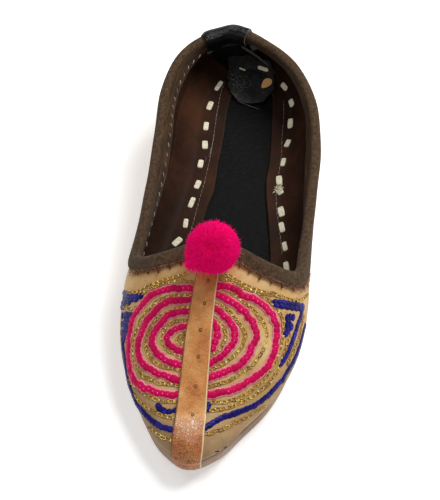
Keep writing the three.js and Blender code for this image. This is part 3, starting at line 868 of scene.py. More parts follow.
outsole = plate("outsole_leather", (150, 36), sole_tan, SOLE_LIP, sole_top, SOLE_THICK)
shown(outsole, "sole_leather", "outsole")
round_sole = np.concatenate([np.linspace(0, 1, 200), np.linspace(1, 0, 200)])
around = outline(round_sole, np.repeat([0, 1], 200), 0.12)
bead_line = np.column_stack([around, sole_top(around[:, 1]) + 0.4])
worn(strands("foot_seam_bead", [bead_line], 0.8, 1.0, 8), sole_tan, "vamp_leather")
heel_from = float(column_at(HEEL_BREAST_Y)) * 2
heel = plate("heel_leather", (70, 30), lift_tan, SOLE_LIP - 0.4, lambda y: 0 * y + HEEL_LIFT, HEEL_LIFT, (0, heel_from))
shown(heel, "lift_leather", "heel_lift")
INSOLE_TOP = 2.3
insole = plate("insole_leather", (140, 36), insole_black, -WALL - 0.4, lambda y: sole_top(y) + INSOLE_TOP, 2,
               swell=insole_sag)
shown(insole, "insole_leather", "insole")

# %% [markdown]
# ## The turned-in lining
# The lining comes down the wall and turns in over the insole. Its cut edge is pale and wanders a little.

# %%
MARGIN_FRONT_Y = -42
MARGIN_LIE = 3.8
MARGIN_TURN = 0.45
MARGIN_EDGE_Y = [-45, 0, 10, 18, 27, 35, 44, 53, 63, 71, 79, 88, 97]
MARGIN_RIGHT = [27.5, 23.1, 21.7, 20.2, 18.5, 17.0, 15.9, 16.1, 15.9, 15.4, 14.7, 14.2, 13.1]
MARGIN_LEFT = [-21, -16.5, -15.0, -13.2, -12, -10.0, -9.9, -10.2, -9.8, -9.6, -9.8, -9.8, -8.9]
margin_from = float(column_at(MARGIN_FRONT_Y))


def lay_margin(s, t):
    u = margin_from * (1 - 2 * s)
    foot = last_point(u, 0)
    run = last_point(u + 0.002, 0) - last_point(u - 0.002, 0)
    inward = -unit(np.stack([-run[:, 1], run[:, 0], 0 * run[:, 0]], axis=1))
    y = foot[:, 1]
    past = np.clip((y - MARGIN_EDGE_Y[-1]) / 26, 0, 1)
    edge_x = np.where(u < 0, np.interp(y, MARGIN_EDGE_Y, MARGIN_LEFT), np.interp(y, MARGIN_EDGE_Y, MARGIN_RIGHT))
    edge = np.column_stack([edge_x * (1 - past ** 2), y - 14 * past, sole_top(y) + MARGIN_LIE])
    high = last_point(u, 0.26) - last_normal(u, 0.26) * (WALL - 0.1)
    corner = foot + inward * (WALL + 0.7)
    inner = foot + inward * (WALL + 4.4)
    corner[:, 2] = inner[:, 2] = sole_top(y) + MARGIN_LIE
    w = np.clip(t / MARGIN_TURN, 0, 1)[:, None]
    q = np.clip((t - MARGIN_TURN) / (1 - MARGIN_TURN), 0, 1)[:, None]
    bend = high * (1 - w) ** 2 + corner * 2 * w * (1 - w) + inner * w ** 2
    place = np.where(t[:, None] < MARGIN_TURN, bend, inner * (1 - q) + edge * q)
    gather = 0.12 * np.sin(s * 260) * np.exp(-((t - 0.3) / 0.2) ** 2) * np.where(np.abs(u) < 0.12, 1.6, 0.4)
    return place + inward * gather[:, None]


margin = hide("lining_turned_in", (260, 24), lay_margin, upwards, [lining_brown, margin_edge], 1.2, 0.25)
shown(margin, "lining_leather", "lining_margin")

# %% [markdown]
# ## The heel patch
# A grainy black offcut lies over the heel of the insole and climbs the back wall a little.

# %%
foot_line = last_point(np.linspace(-0.2, 0.2, 400), 0)[:, :2]
PATCH_ACROSS = [0, 0.25, 0.5, 0.8, 1]
PATCH_FRONT_X = [-9.4, -5, 2, 8.6, 12.6]
PATCH_FRONT_Y = [97.5, 93.8, 92.5, 95, 101.5]
PATCH_LIE = 5.3


def lay_patch(s, t):
    front = np.column_stack([np.interp(s, PATCH_ACROSS, k) for k in (PATCH_FRONT_X, PATCH_FRONT_Y)])
    rear = np.column_stack([-12.2 + 22.4 * s, 113.6 + 3.8 * np.sin(np.pi * s) ** 0.7])
    bow = np.column_stack([(2 * s - 1) * 1.1 * np.sin(np.pi * t) + 0.3 * np.sin(t * 17), 0.4 * np.sin(s * 15)])
    plan = front * (1 - t)[:, None] + rear * t[:, None] + bow
    away = np.min(np.linalg.norm(plan[:, None] - foot_line[None], axis=2), axis=1)
    climb = 9 * np.clip(1 - (away - 2.6) / 4.5, 0, 1) ** 2
    x, y = plan.T
    crumple = 0.2 * np.sin(x * 0.7 + 1) * np.cos(y * 0.45) + 0.2 * np.sin(x * 1.6 - y * 0.9)
    sag = 1.9 * np.sin(np.pi * np.clip(s, 0, 1)) ** 0.6 * (1 - t) ** 1.5
    return np.column_stack([plan, sole_top(y) + PATCH_LIE + climb + crumple * np.sqrt(t) - sag])


patch = hide("heel_patch_leather", (48, 40), lay_patch, upwards, [patch_black], 0.6, 0.15)
shown(patch, "black_leather", "heel_patch")

# %% [markdown]
# ## The collar binding
# A strip of felted suede folds over the cut edge, with a longer leg inside. It is rolled, so its fold is round.

# %%
# Each outline is walked as (down the leather, off the leather), from the outer leg over the fold to the inner one.
BINDING = [
    (6.0, 0.4), (6.1, 1.2), (5.6, 1.65), (3, 1.75), (0.8, 1.7), (-0.6, 1.3), (-1.4, 0.4), (-1.7, -0.9), (-1.4, -2.3),
    (-0.6, -3.2), (0.8, -3.65), (3, -3.75), (6.5, -3.7), (9.7, -3.6), (10.1, -3.0),
]
LEFT_LEG = [(0.5, 0), (0.56, 2.6), (0.66, 4.6), (0.78, 3.0), (0.9, 1.8), (0.97, 0)]


def lay_binding(s, t):
    down, lift = profile(t, BINDING)
    down = down + np.interp(s, *np.array(LEFT_LEG).T) * ease((t - 0.72) / 0.28)
    wave = 0.35 * np.sin(s * 60) * np.sin(s * 23 + 2) + 0.2 * np.sin(s * 141)
    return along_collar(s, down + wave * (down > 4), lift + 0.12 * np.sin(s * 90) * np.sin(t * 9))


def from_collar(centres):
    """Away from the cut edge of the upper's wall."""
    middle = collar - collar_out * WALL / 2
    nearest = np.argmin(np.linalg.norm(centres[:, None] - middle[None], axis=2), axis=1)
    return centres - middle[nearest]


binding = hide("collar_binding_felt", (480, 30), lay_binding, from_collar, [binding_felt], 1.1)
shown(binding, "binding_cloth", "collar_binding")

# %% [markdown]
# ## The pinked trim
# Below the binding a rust-brown tape shows on the vamp only. Pinking shears cut its free edge into small teeth.

# %%
TRIM_TOP, TRIM_FREE, TOOTH_RUN = 4.2, 6.75, 5.0
corner_start = last_point(right_u[SIDE_POINTS + 2], right_v[SIDE_POINTS + 2])
TRIM_FROM = int(np.argmin(np.linalg.norm(collar - corner_start, axis=1))) / len(collar)


def lay_trim(s, t):
    at = TRIM_FROM + (1 - 2 * TRIM_FROM) * s
    run = at * collar_length / TOOTH_RUN
    tooth = np.clip(1 - np.abs((run % 1) - 0.5) / 0.12, 0, 1)
    wander = 0.15 * np.sin(at * 90) + 0.2 * np.sin(at * 410)
    deep = TRIM_FREE + wander + (1.9 + 0.4 * np.sin(np.floor(run) * 2.3)) * tooth
    return along_collar(at, TRIM_TOP + (deep - TRIM_TOP) * t, 0.55 + 0.35 * (1 - t))


trim = hide("throat_trim_tape", (560, 4), lay_trim, from_inside, [trim_rust], 0.5, angle=40, offset=1)
shown(trim, "trim_leather", "throat_trim")

# %% [markdown]
# ## The centre strip
# A band of orange-tan hide runs from under the pompom down the vamp and folds over the toe.
# Each cross-row is aimed at a line inside the toe, so the band stays flat on the leather round the bend.

# %%
STRIP_LEFT = [(0.0, -7.3), (0.17, -8.4), (0.35, -9.6), (0.6, -9.7), (0.78, -9.6), (0.9, -9.4), (1.0, -9.2)]
STRIP_RIGHT = [(0.0, 2.8), (0.17, 2.5), (0.35, 2.6), (0.6, 3.6), (0.78, 4.6), (0.9, 4.6), (1.0, 4.4)]
# The band runs straight from STRIP_TOP_Y to the bend, swings round it, and drops over the sole's edge.
STRIP_TOP_Y, BEND_Y, BEND_Z = -30, -96.0, 14.0
STRAIGHT, SWING = 0.74, 0.18
tip_line = [outline(np.linspace(*ends, 60), side, SOLE_LIP) for ends, side in (((0.88, 1), 0), ((1, 0.88), 1))]
tip_line = np.concatenate(tip_line)
tip_line = tip_line[np.argsort(tip_line[:, 0])]


def toe_face(x, z):
    """How far forward the leather reaches at x, z."""
    hit = leather_net.ray_cast((x, -160, z), (0, 1, 0))[0]
    return hit[1] if hit else 0


def strip_place(s, t, lift=0.35):
    """s from the throat to the sole's edge at the toe, t from the left edge to the right."""
    x = np.interp(s, *np.array(STRIP_LEFT).T) * (1 - t) + np.interp(s, *np.array(STRIP_RIGHT).T) * t
    straight = s < STRAIGHT
    y = np.where(straight, STRIP_TOP_Y + (BEND_Y - STRIP_TOP_Y) * s / STRAIGHT, BEND_Y)
    turn = np.where(straight, 0, np.clip((s - STRAIGHT) / SWING, 0, 1) * np.radians(84))
    away = np.column_stack([0 * x, -np.sin(turn), np.cos(turn)])
    start = np.column_stack([x, y, 0 * x + BEND_Z]) + away * 80
    hits = [leather_net.ray_cast(p, d)[:2] for p, d in zip(start.tolist(), (-away).tolist())]
    place = np.array([h[0][:] for h in hits])
    out = np.array([h[1][:] for h in hits])
    out *= np.sign(np.sum(out * away, axis=1))[:, None]
    place = place + out * np.broadcast_to(lift, x.shape)[:, None]
    over = np.clip((s - STRAIGHT - SWING) / (1 - STRAIGHT - SWING), 0, 1)
    front = np.interp(x, *tip_line.T)
    edge = sole_top(front)
    z = place[:, 2] * (1 - over) + (edge - 2.6) * over
    faced = np.array([toe_face(*k) if w > 0 else 0 for *k, w in zip(x, z, over)])
    faced = np.minimum(faced, np.where(z < edge + 1.3, front, 0))
    taut = place[:, 1] * (1 - over) + (front - lift) * over
    rim = np.column_stack([x + (place[:, 0] - x) * (1 - over), np.minimum(faced - lift, taut), z])
    w = ease(over * 4)[:, None]
    return place * (1 - w) + rim * w


def lay_strip(s, t):
    return strip_place(1 - t, s, 1.5 + 0.12 * np.sin(t * 40 + s * 3) * np.sin(s * 6))


strip = hide("centre_strip_leather", (18, 170), lay_strip, from_inside, [strip_tan, raw_edge], 1.2, 0.3)
shown(strip, "strip_leather", "centre_strip")

# %% [markdown]
# ## The photo's eye
# The photo was taken from above the toe, turned a little and slightly tilted, a long way off. The same eye places the
# camera at the end, and says where a stitch seen in the photo lies on the leather.

# %%
ELEVATION, AZIMUTH, ROLL = math.radians(57), math.radians(10), math.radians(-3)
EYE_AWAY, AIM = 850, np.array([0, 0, 15])
PHOTO_CENTRE, PHOTO_FOCAL = (123.5, 243), 1717
back = np.array([math.sin(AZIMUTH), -math.cos(AZIMUTH), 0]) * math.cos(ELEVATION) + (0, 0, math.sin(ELEVATION))
level = unit(np.cross(-back, (0, 0, 1)))
steep = np.cross(level, -back)
right = level * math.cos(ROLL) + steep * math.sin(ROLL)
up = steep * math.cos(ROLL) - level * math.sin(ROLL)
eye = AIM + back * EYE_AWAY


def seen(x, y):
    """The point of the leather that the photo shows at a pixel. One just past the left rim is moved in to it."""
    hit = None
    while hit is None:
        aim = right * (x - PHOTO_CENTRE[0]) / PHOTO_FOCAL + up * (PHOTO_CENTRE[1] - y) / PHOTO_FOCAL - back
        hit = leather_net.ray_cast(eye, aim)[0]
        x += 0.5
    return hit[:]


def charted(row, samples=24):
    """A smooth line on the leather through the stitches that a row names in the photo."""
    at = np.array(row, float)
    at = np.vstack([2 * at[0] - at[1], at, 2 * at[-1] - at[-2]])
    w = np.arange(samples) / samples
    runs = [through(*at[i:i + 4, None], w) for i in range(len(row) - 1)]
    return np.array([seen(x, y) for x, y in np.concatenate(runs + [at[-2:-1]])])


print("the photo's eye at", np.round(eye), "mm")

# %% [markdown]
# ## Chain stitch
# Chain stitch is a row of loops, each pulled through the one before. Thick cotton closes into plump lobes that lie over
# each other like scales; metal wire keeps its open loops. The rows follow the photo, stitch sizes are in millimetres.

# %%
# Each row of stitches as points of the photo, in its pixels.
PINK = [
    [(93.5, 284.5), (70, 284.5), (56, 289), (42.5, 299.5), (32.5, 316), (28.5, 338), (28.5, 359.5), (35.5, 377.5),
     (53, 387.5), (77.5, 391.5)],
    [(118, 281.5), (128.5, 282.5), (144, 291.5), (159.5, 298.5), (171.5, 310.5), (176, 327), (174, 346), (166, 364),
     (148.5, 377.5), (136, 384), (123, 388.5), (107, 391)],
    [(90.5, 296.5), (68.5, 298), (54, 307.5), (42.5, 324), (37.5, 343), (41.5, 359.5), (56, 369), (78.5, 376)],
    [(117.5, 291), (132.5, 298.5), (147.5, 312.5), (155.5, 330.5), (150.5, 347), (137, 362), (125, 367.5), (108, 374)],
    [(89, 307.5), (76, 308.5), (60.5, 318.5), (52, 334), (53, 345), (66, 356), (81, 360.5)],
    [(115.5, 304.5), (128.5, 317.5), (134.5, 327.5), (129.5, 343.5), (119.5, 353), (109.5, 358.5)],
    [(87, 322.5), (75, 324.5), (66.5, 335.5), (70.5, 343), (83.5, 347.5)],
    [(113.5, 318.5), (116.5, 326), (116, 333.5), (112.5, 344.5)],
]
GOLD = [
    [(85.5, 269.5), (64, 276), (51.5, 281), (38.5, 287.5), (28.5, 289)],
    [(94, 279.5), (79.5, 276.5), (66, 278.5), (52.5, 284), (41.5, 289)],
    [(92, 291), (71.5, 292.5), (56, 298.5), (42.5, 313), (35, 330.5), (33, 351.5), (40.5, 369.5), (57.5, 378.5),
     (78, 381.5)],
    [(90, 302.5), (71.5, 306), (57, 314.5), (47.5, 329.5), (47, 348.5), (59.5, 361), (80, 366)],
    [(87.5, 316), (72.5, 318.5), (62, 330.5), (64.5, 344), (82, 353.5)],
    [(85.5, 328), (77, 336), (84, 341.5)],
    [(89, 330), (83, 336), (89, 341)],
    [(30, 377.5), (44, 390.5), (62.5, 397), (76.5, 398)],
    [(33.5, 391), (45.5, 402), (60, 410.5), (74.5, 415.5)],
    [(50, 424.5), (61.5, 432.5), (73, 437)],
    [(25.5, 303.5), (30, 305.5), (35.5, 303.5)],
    [(120, 268.5), (138.5, 277.5), (157.5, 286.5), (177.5, 291.5), (197, 297), (202.5, 295), (206.5, 291)],
    [(119, 273.5), (139.5, 281.5), (164, 293), (179.5, 310.5), (183, 330.5), (175, 357.5), (160.5, 378.5), (140.5, 393),
     (125, 397.5), (107.5, 399)],
    [(188.5, 332.5), (182.5, 352), (170.5, 376.5), (151, 393), (125.5, 404), (107.5, 407)],
    [(202.5, 314), (198.5, 332.5), (188, 357.5)],
    [(118.5, 287), (131.5, 290.5), (147, 301), (160.5, 315), (166, 332), (157.5, 355), (141.5, 368.5), (127, 377.5),
     (108, 382.5)],
    [(117, 299.5), (133, 311.5), (144.5, 332.5), (134, 351.5), (109, 367)],
    [(114, 314), (122.5, 322.5), (125, 332.5), (120.5, 343), (111, 350.5)],
    [(105.5, 430.5), (123, 424.5), (144.5, 414), (163, 404)],
]
BLUE = [
    [(24, 289.5), (29, 292.5), (40, 292.5)],
    [(24, 293), (29, 295), (35, 296)],
    [(22.5, 298.5), (28, 299)],
    [(23.5, 289), (25.5, 290)],
    [(21.5, 303), (23, 303)],
    [(31, 312), (27.5, 323.5), (24, 335)],
    [(27.5, 312), (24.5, 325), (23.2, 331)],
    [(24, 312), (23.2, 320), (22.2, 328)],
    [(22, 312), (21.5, 320), (21, 328.5)],
    [(25.5, 311), (24.5, 319.5), (23.5, 327)],
    [(29, 312), (26.5, 325.5), (25, 332)],
    [(22, 336), (22.3, 343), (24.8, 360), (31, 389.5), (41.5, 407), (57.5, 421), (73.5, 426.5)],
    [(23, 345.5), (28.5, 379.5), (34.5, 395.5)],
    [(58.5, 402.5), (62, 406), (67.5, 407.5), (75.5, 406.5)],
    [(59.5, 405.5), (64, 408.5)],
    [(105, 423.5), (123, 413.5), (155.5, 400.5), (179.5, 378.5), (196, 350.5), (204.5, 322)],
    [(175, 298), (186.5, 299), (202, 302)],
    [(176.5, 301.5), (199.5, 305)],
    [(202, 305.5), (195, 328.5), (187, 349.5), (180.5, 359.5)],
    [(186.5, 314), (186, 320), (185, 329.5)],
    [(189.5, 313), (189.5, 318), (187, 328)],
    [(192.5, 313.5), (192.5, 318), (190.5, 323)],
    [(107.5, 401.5), (106.5, 405)],
]


def plump_link():
    """One plump loop of thick cotton, tipped so that it lies over the next like a scale."""
    bpy.ops.object.select_all(action="DESELECT")
    bpy.ops.mesh.primitive_uv_sphere_add(segments=10, ring_count=8, radius=0.5)
    bpy.ops.object.mode_set(mode="EDIT")
    bpy.ops.mesh.select_all(action="SELECT")
    bpy.ops.transform.rotate(value=math.radians(90), orient_axis="Y", center_override=(0, 0, 0))
    bpy.ops.transform.resize(value=(1.0, 1.0, 0.46))
    bpy.ops.transform.rotate(value=math.radians(-8), orient_axis="Y", center_override=(0, 0, 0))
    bpy.ops.object.mode_set(mode="OBJECT")
    return bpy.context.object


def ring_link(wire):
    """An open oval loop of wire."""
    bpy.ops.object.select_all(action="DESELECT")
    bpy.ops.mesh.primitive_torus_add(major_segments=12, minor_segments=4, major_radius=0.5, minor_radius=wire)
    bpy.ops.object.mode_set(mode="EDIT")
    bpy.ops.mesh.select_all(action="SELECT")
    bpy.ops.transform.resize(value=(1.15, 0.95, 1))
    bpy.ops.object.mode_set(mode="OBJECT")
    return bpy.context.object


def row_places(paths, pitch, width, length, lift, wobble=0.0):
    places = []
    for path in paths:
        track = charted(path)
        for _ in range(4):
            track[1:-1] = (track[:-2] + 2 * track[1:-1] + track[2:]) / 4
        _, run = resampled(track, 2, closed=False)
        count = max(int(run / pitch), 2)
        centre, _ = resampled(track, count, closed=False)
        centre, out = on_leather(centre)
        along = unit(np.gradient(centre, axis=0))
        across = unit(np.cross(out, along))
        for c, a, b, n in zip(centre, along, across, out):
            tip, lean = chance.normal(0, wobble, 2)
            size = 1 + chance.normal(0, 0.05)
            a2 = a * math.cos(lean) + b * math.sin(lean)
            b2 = b * math.cos(lean) - a * math.sin(lean)
            places.append((c + b * tip * width + n * lift, a2 * length * size, b2 * width * size, n * width * 0.8))
    return places


PINK_PITCH, BLUE_PITCH, GOLD_PITCH = 2.4, 2.1, 2.35
lobe, loop, fat_loop = plump_link(), ring_link(0.085), ring_link(0.16)
pink_places = row_places(PINK, PINK_PITCH, 3.75, 4.3, 0.1, 0.07)
pink = strewn("embroidery_pink", lobe, pink_places)
blue_places = row_places(BLUE, BLUE_PITCH, 3.0, 4.1, 0.05, 0.05)
blue = strewn("embroidery_blue", lobe, blue_places)
gold_places = row_places(GOLD, GOLD_PITCH, 1.5, 2.9, 0.32, 0.12)
gold = strewn("embroidery_gold", loop, gold_places)
# A dark ring under each gold loop is painted shadow.
gold_shadow_rings = strewn("embroidery_gold_shadow", fat_loop, [(o - c * 0.1, a, b, c * 0.5) for o, a, b, c in gold_places])
halo = strewn("embroidery_pink_halo", lobe, [(o, a * 1.05, b * 1.32, c * 0.35) for o, a, b, c in pink_places])
worn(halo, pink_fuzz, "pompom_yarn")
worn(pink, pink_thread, "pompom_yarn")
worn(blue, blue_thread, "pompom_yarn")
worn(gold, gold_wire, "trim_leather")
worn(gold_shadow_rings, gold_shadow, "trim_leather")
print("stitches:", len(pink_places), "pink,", len(blue_places), "blue,", len(gold_places), "gold")

# %% [markdown]
# ## The pompom
# Yarn is wound, tied in the middle and clipped to a ball, so hundreds of cut ends stand out from the centre.

# %%
POMPOM = np.array([0.0, -29.0, 59.0])
PARTING = unit(np.array([-0.02, -0.545, 0.838]))
TUFT = unit(np.array([-0.76, -0.61, -0.31]))


def yarn_lines(count, start, reach, spread, stray=1.5):
    lines = []
    for k in range(count):
        way = unit(chance.normal(size=3))
        long = reach + chance.normal(0, spread)
        long -= 4.5 * math.exp(-(np.linalg.norm(way - PARTING) / 0.15) ** 2)
        long += stray * math.exp(-(np.linalg.norm(way - TUFT) / 0.4) ** 2) * chance.random()
        bend = np.cross(way, chance.normal(size=3)) * 0.9
        steps = np.linspace(start, 1, 3)[:, None]
        lines.append(POMPOM + way * long * steps + bend * (steps - start) ** 2 * 4)
    return lines


pompom = strands("pompom_yarn_ball", yarn_lines(13500, 0.6, 11.8, 0.32), 0.36, 0.45)
worn(pompom, pompom_yarn, "pompom_yarn", "pompom")
loose_ends = []
for k in range(300):
    way = unit(TUFT + chance.normal(0, 0.14, 3))
    droop = np.array([[0, 0, 0], [0, 0, 0], [0, 0, -0.8]])
    loose_ends.append(POMPOM + way * np.array([[9.0], [12.5], [chance.uniform(13, 16)]]) + droop)
wisps = strands("pompom_wisps", yarn_lines(2600, 0.8, 12.5, 0.7, 5) + loose_ends, 0.13, 0.5)
worn(wisps, pompom_yarn, "pompom_yarn")

# %% [markdown]
# ## Fuzz at the embroidery and the trim
# Cotton sheds: short pale fibres stand out beside each pink row. The trim's edge is frayed, most of all at the corners.

# %%
fuzz = []
for o, a, b, n in pink_places:
    for k in range(6):
        side = 1 if k % 2 else -1
        foot = o + b * side * 0.42 + a * chance.uniform(-0.4, 0.4)
        tip = foot + unit(b) * side * chance.uniform(0.4, 1.0)
        tip = tip + unit(a) * chance.normal(0, 0.3) + unit(n) * chance.uniform(-0.1, 0.3)
        fuzz.append([foot, tip])
pink_fibres = strands("embroidery_fuzz", fuzz, 0.08, 0.5)
worn(pink_fibres, pink_fuzz, "pompom_yarn")

FRAYS = 2200
trim_corners = [np.array((40.5, -23, 31)), np.array((-39.5, -24, 31))]
fray_s = chance.uniform(TRIM_FROM - 0.01, 1 - TRIM_FROM + 0.01, FRAYS)
fray_on = along_collar(fray_s, 0, 0)
fray_near = sum(np.exp(-(np.linalg.norm(fray_on - c, axis=1) / 8) ** 2) for c in trim_corners)
fray_down = chance.uniform(4.6, 6.6, FRAYS) + chance.uniform(0, 3.4, FRAYS) * fray_near
fray_foot = along_collar(fray_s, fray_down, 0.9 + 0.6 * (fray_down < 6))
fray_to = fray_s + chance.normal(0, 0.0012, FRAYS), fray_down + chance.uniform(0.3, 1.0, FRAYS)
fray_tip = along_collar(*fray_to, 1.2 + chance.uniform(-0.6, 0.6, FRAYS))
frayed_trim = strands("trim_fray", list(np.stack([fray_foot, fray_tip], axis=1)), 0.1, 0.5)
worn(frayed_trim, trim_fibre, "trim_leather")

# %% [markdown]
# ## The heel tab
# A black strap folds over the topline behind the heel. Its right end is cut and shows a grey raw edge.

# %%
TAB = [
    (12, 1.2), (9, 2.0), (4, 2.7), (0.5, 3.0), (-1.6, 2.3), (-2.9, 0.7), (-3.2, -1.4), (-2.6, -3.8), (-0.5, -5.3),
    (3, -5.9), (8, -5.7),
]
TAB_LEFT_X, TAB_WIDTH = -24.3, 23
TAIL_DOWN = [0, 0.25, 0.45, 0.7, 1]
TAIL_LEFT = [-0.052, -0.050, -0.046, -0.040, -0.036]
TAIL_RIGHT = [0.003, 0.008, 0.019, 0.032, 0.042]


def lay_tab(s, t):
    x = TAB_LEFT_X + TAB_WIDTH * s
    at = np.interp(x, tab_x, tab_s) % 1
    down, lift = profile(np.clip(t / 0.62, 0, 1), TAB)
    rolled = 0.9 * np.clip(1 - s / 0.1, 0, 1) ** 2
    crumple = (0.45 * np.sin(s * 9 + t * 7) + 0.3 * np.sin(t * 30 + s * 4)) * np.sin(np.pi * s)
    fold = along_collar(at, down, lift + crumple - np.where(t < 0.36, rolled, -rolled))
    tail = np.clip((t - 0.56) / 0.44, 0, 1)
    left, right = np.interp(tail, TAIL_DOWN, TAIL_LEFT), np.interp(tail, TAIL_DOWN, TAIL_RIGHT)
    u, v = left + (right - left) * s, 0.50 - 0.43 * tail
    inside = 7.4 - 2.8 * tail + 0.4 * np.sin(s * 11 + tail * 6) - 0.5 * s
    hung = last_point(u, v) - last_normal(u, v) * inside[:, None]
    w = ease(tail / 0.22)[:, None]
    return fold * (1 - w) + hung * w


near_heel = np.arange(-40, 41)
tab_x = collar[near_heel % len(collar), 0]
order = np.argsort(tab_x)
tab_x, tab_s = tab_x[order], (near_heel / len(collar))[order]
tab = hide("pull_tab_leather", (40, 96), lay_tab, from_collar, [tab_black, tab_edge], 1.3, 0.3, 60)
shown(tab, "black_leather", "pull_tab")

# %% [markdown]
# ## Thongs and fine threads inside
# Cream rawhide thongs hold the lining to the insole in a running stitch. A line of fine thread keeps them company.

# %%
def thong_shape():
    bpy.ops.object.select_all(action="DESELECT")
    bpy.ops.mesh.primitive_cube_add(size=1)
    obj = bpy.context.object
    modified(obj, "BEVEL", width=0.2, segments=2)
    modified(obj, "SUBSURF", levels=1)
    return obj


# Each thong lies at (x, y) and is turned so many degrees from the shoe's length.
THONGS = [
    (-16.3, 102.3, 21), (-19.2, 88.6, 11), (-19.4, 75, -1), (-18.3, 63, -8), (-18.9, 50.8, 2), (-18.6, 37.9, 13),
    (-20.2, 27.1, 13), (-21.6, 15, 0), (-24.4, 4.3, 37), (18.4, 104.9, -46), (23.4, 94.4, -24), (24.2, 81.3, -2),
    (24.2, 68.3, 19), (23.3, 56.2, 5), (22.4, 45, -10), (25.6, 26.3, -17), (26.9, 17.6, -17), (29.6, 6.9, -15),
    (31.6, -4.1, -15),
]
WIDE_THONG = (23.6, 38.2, -30)


def net_of(obj):
    return BVHTree.FromPolygons([v.co[:] for v in obj.data.vertices], [tuple(p.vertices) for p in obj.data.polygons])


def resting(net, x, y):
    """Where something let down at x, y comes to lie, and the way up there."""
    place, out, *_ = net.ray_cast(tuple(world((x, y, 100))), (0, 0, -1))
    return np.array(place[:]) / MM - (0, SHIFT_Y, 0), np.array(out[:])


def lying_places(net, rows, length, width, high, lift=0.1):
    places = []
    for x, y, turn in rows:
        a = math.radians(90 - turn)
        long, wide = length * (1 + chance.normal(0, 0.08)), width * (1 + chance.normal(0, 0.08))
        place, out = resting(net, x, y)
        along = np.array([math.cos(a), math.sin(a), 0])
        along = unit(along - out * (along @ out))
        across = np.cross(out, along)
        places.append((place + out * lift, along * long, across * wide, out * high))
    return places


thong = thong_shape()
margin_net, patch_net = net_of(margin), net_of(patch)
thong_places = lying_places(margin_net, THONGS[:2], 6.6, 2.6, 1.2) + lying_places(margin_net, THONGS[2:], 5.3, 2.9, 1.2)
thong_places += lying_places(margin_net, [WIDE_THONG], 4.6, 3.8, 1.0)
thongs = strewn("rawhide_thongs", thong, thong_places)
worn(thongs, rawhide, "strip_leather")
heel_places = lying_places(patch_net, [(-5.2, 113.4, 109)], 4.0, 1.0, 0.8, 0.35)
heel_places += lying_places(patch_net, [(6.1, 114.0, 99)], 7.2, 1.8, 1.1, 0.35)
heel_thongs = strewn("heel_thongs", thong, heel_places)
worn(heel_thongs, rawhide, "strip_leather")
# The fine thread runs through these (y, x) points.
THREAD_LEFT = [
    (7.4, -19.0), (14.3, -18.0), (27.6, -16.7), (34.8, -15.9), (39.6, -15.3), (53.5, -14.6), (68.3, -14.5),
    (82.6, -14.9), (97.3, -14.7), (105.5, -13.6),
]
THREAD_RIGHT = [
    (4.0, 28.4), (12.2, 26.7), (20.5, 24.8), (28.3, 22.9), (37.6, 21.6), (60.7, 21.8), (71.5, 20.8), (87.8, 20.0),
    (98.2, 18.6),
]
THREAD_PITCH = 2.7
fine_rows = [
    (np.interp(y, *np.array(line).T), y, 0)
    for line in (THREAD_LEFT, THREAD_RIGHT) for y in np.arange(line[0][0], line[-1][0], THREAD_PITCH)
]
fine = strewn("lining_thread", thong, lying_places(margin_net, fine_rows, 2.3, 0.32, 0.3, 0.05))
worn(fine, pale_thread, "lining_leather")

# %% [markdown]
# ## Stitches in the binding, and what has come loose
# Slanting stitches hold the binding's inner leg on the left. A knot of rawhide has frayed on the right, a thread lies
# over the heel patch and a scrap of tan leather is stuck to it.

# %%
STITCH_BOW = ((0, 6.6, -4.7), (0.0027, 5.8, -5.1), (0.0054, 5.1, -4.7))


def binding_stitch(s):
    return [along_collar(np.array([s + on]), down, lift)[0] for on, down, lift in STITCH_BOW]


stitch_lines = [binding_stitch(s) for s in np.arange(0.56, 0.95, 0.0135)]
stitches = strands("binding_stitches", stitch_lines, 0.24, 0.7, 4)
worn(stitches, stitch_thread, "binding_cloth")

felt_end = along_collar(np.array([float(np.interp(1.5, tab_x, tab_s)) % 1]), 3.4, -4.6)[0]
tuft = [
    [felt_end + at for at in (0, chance.normal(0, 0.5, 3) + (1.2, -1, 0), chance.normal(0, 1.0, 3) + (2.6, -1.2, 0.4))]
    for _ in range(36)
]
felt_tuft = strands("frayed_felt", tuft, 0.2, 0.4)
worn(felt_tuft, pale_thread, "binding_cloth")

frayed = []
for k in range(60):
    x, y = 23.0 + chance.normal(0, 0.9), 39.6 + chance.normal(0, 1.4)
    foot, _ = resting(margin_net, x, y)
    way = unit(chance.normal(size=3) * (1, 1, 0.4) + (0, 0, 0.5))
    frayed.append([foot, foot + way * 1.2 + (0, 0, 0.3), foot + way * 2.2])
frayed_knot = strands("frayed_rawhide", frayed, 0.22, 0.4)
worn(frayed_knot, rawhide, "strip_leather")

LOOSE_THREADS = (
    ((-5.0, 93.6, 10.7), (1.0, 91.4, 10.9), (6.9, 89.6, 10.6)),
    ((-17.5, 56, 11.5), (-16.2, 53.5, 12.6), (-16.9, 51, 11.4)),
    ((-15.2, 61, 11.4), (-14.6, 58, 12.4), (-15.8, 55, 11.6)),
)
loose = [[(x, y, z + float(sole_top(y)) - 7.5) for x, y, z in line] for line in LOOSE_THREADS]
fibres = strands("loose_threads", loose, 0.17, 0.8, 4)
worn(fibres, pale_thread, "lining_leather")


def lay_scrap(s, t):
    a, b = 2 * s - 1, 2 * t - 1
    across, along = 2.2 * a * np.sqrt(1 - b ** 2 / 2) * (1 + 0.25 * b), 3.6 * b * np.sqrt(1 - a ** 2 / 2)
    x, y = 8.6 + across * 0.86 + along * 0.5, 105.6 - across * 0.5 + along * 0.86
    return np.array([resting(patch_net, *at)[0] + (0, 0, 0.4) for at in zip(x, y)])


scrap = laid("tan_scrap", 10, 10, lay_scrap)
dressed(scrap, scrap_tan)
smooth(scrap)
shown(scrap, "strip_leather")

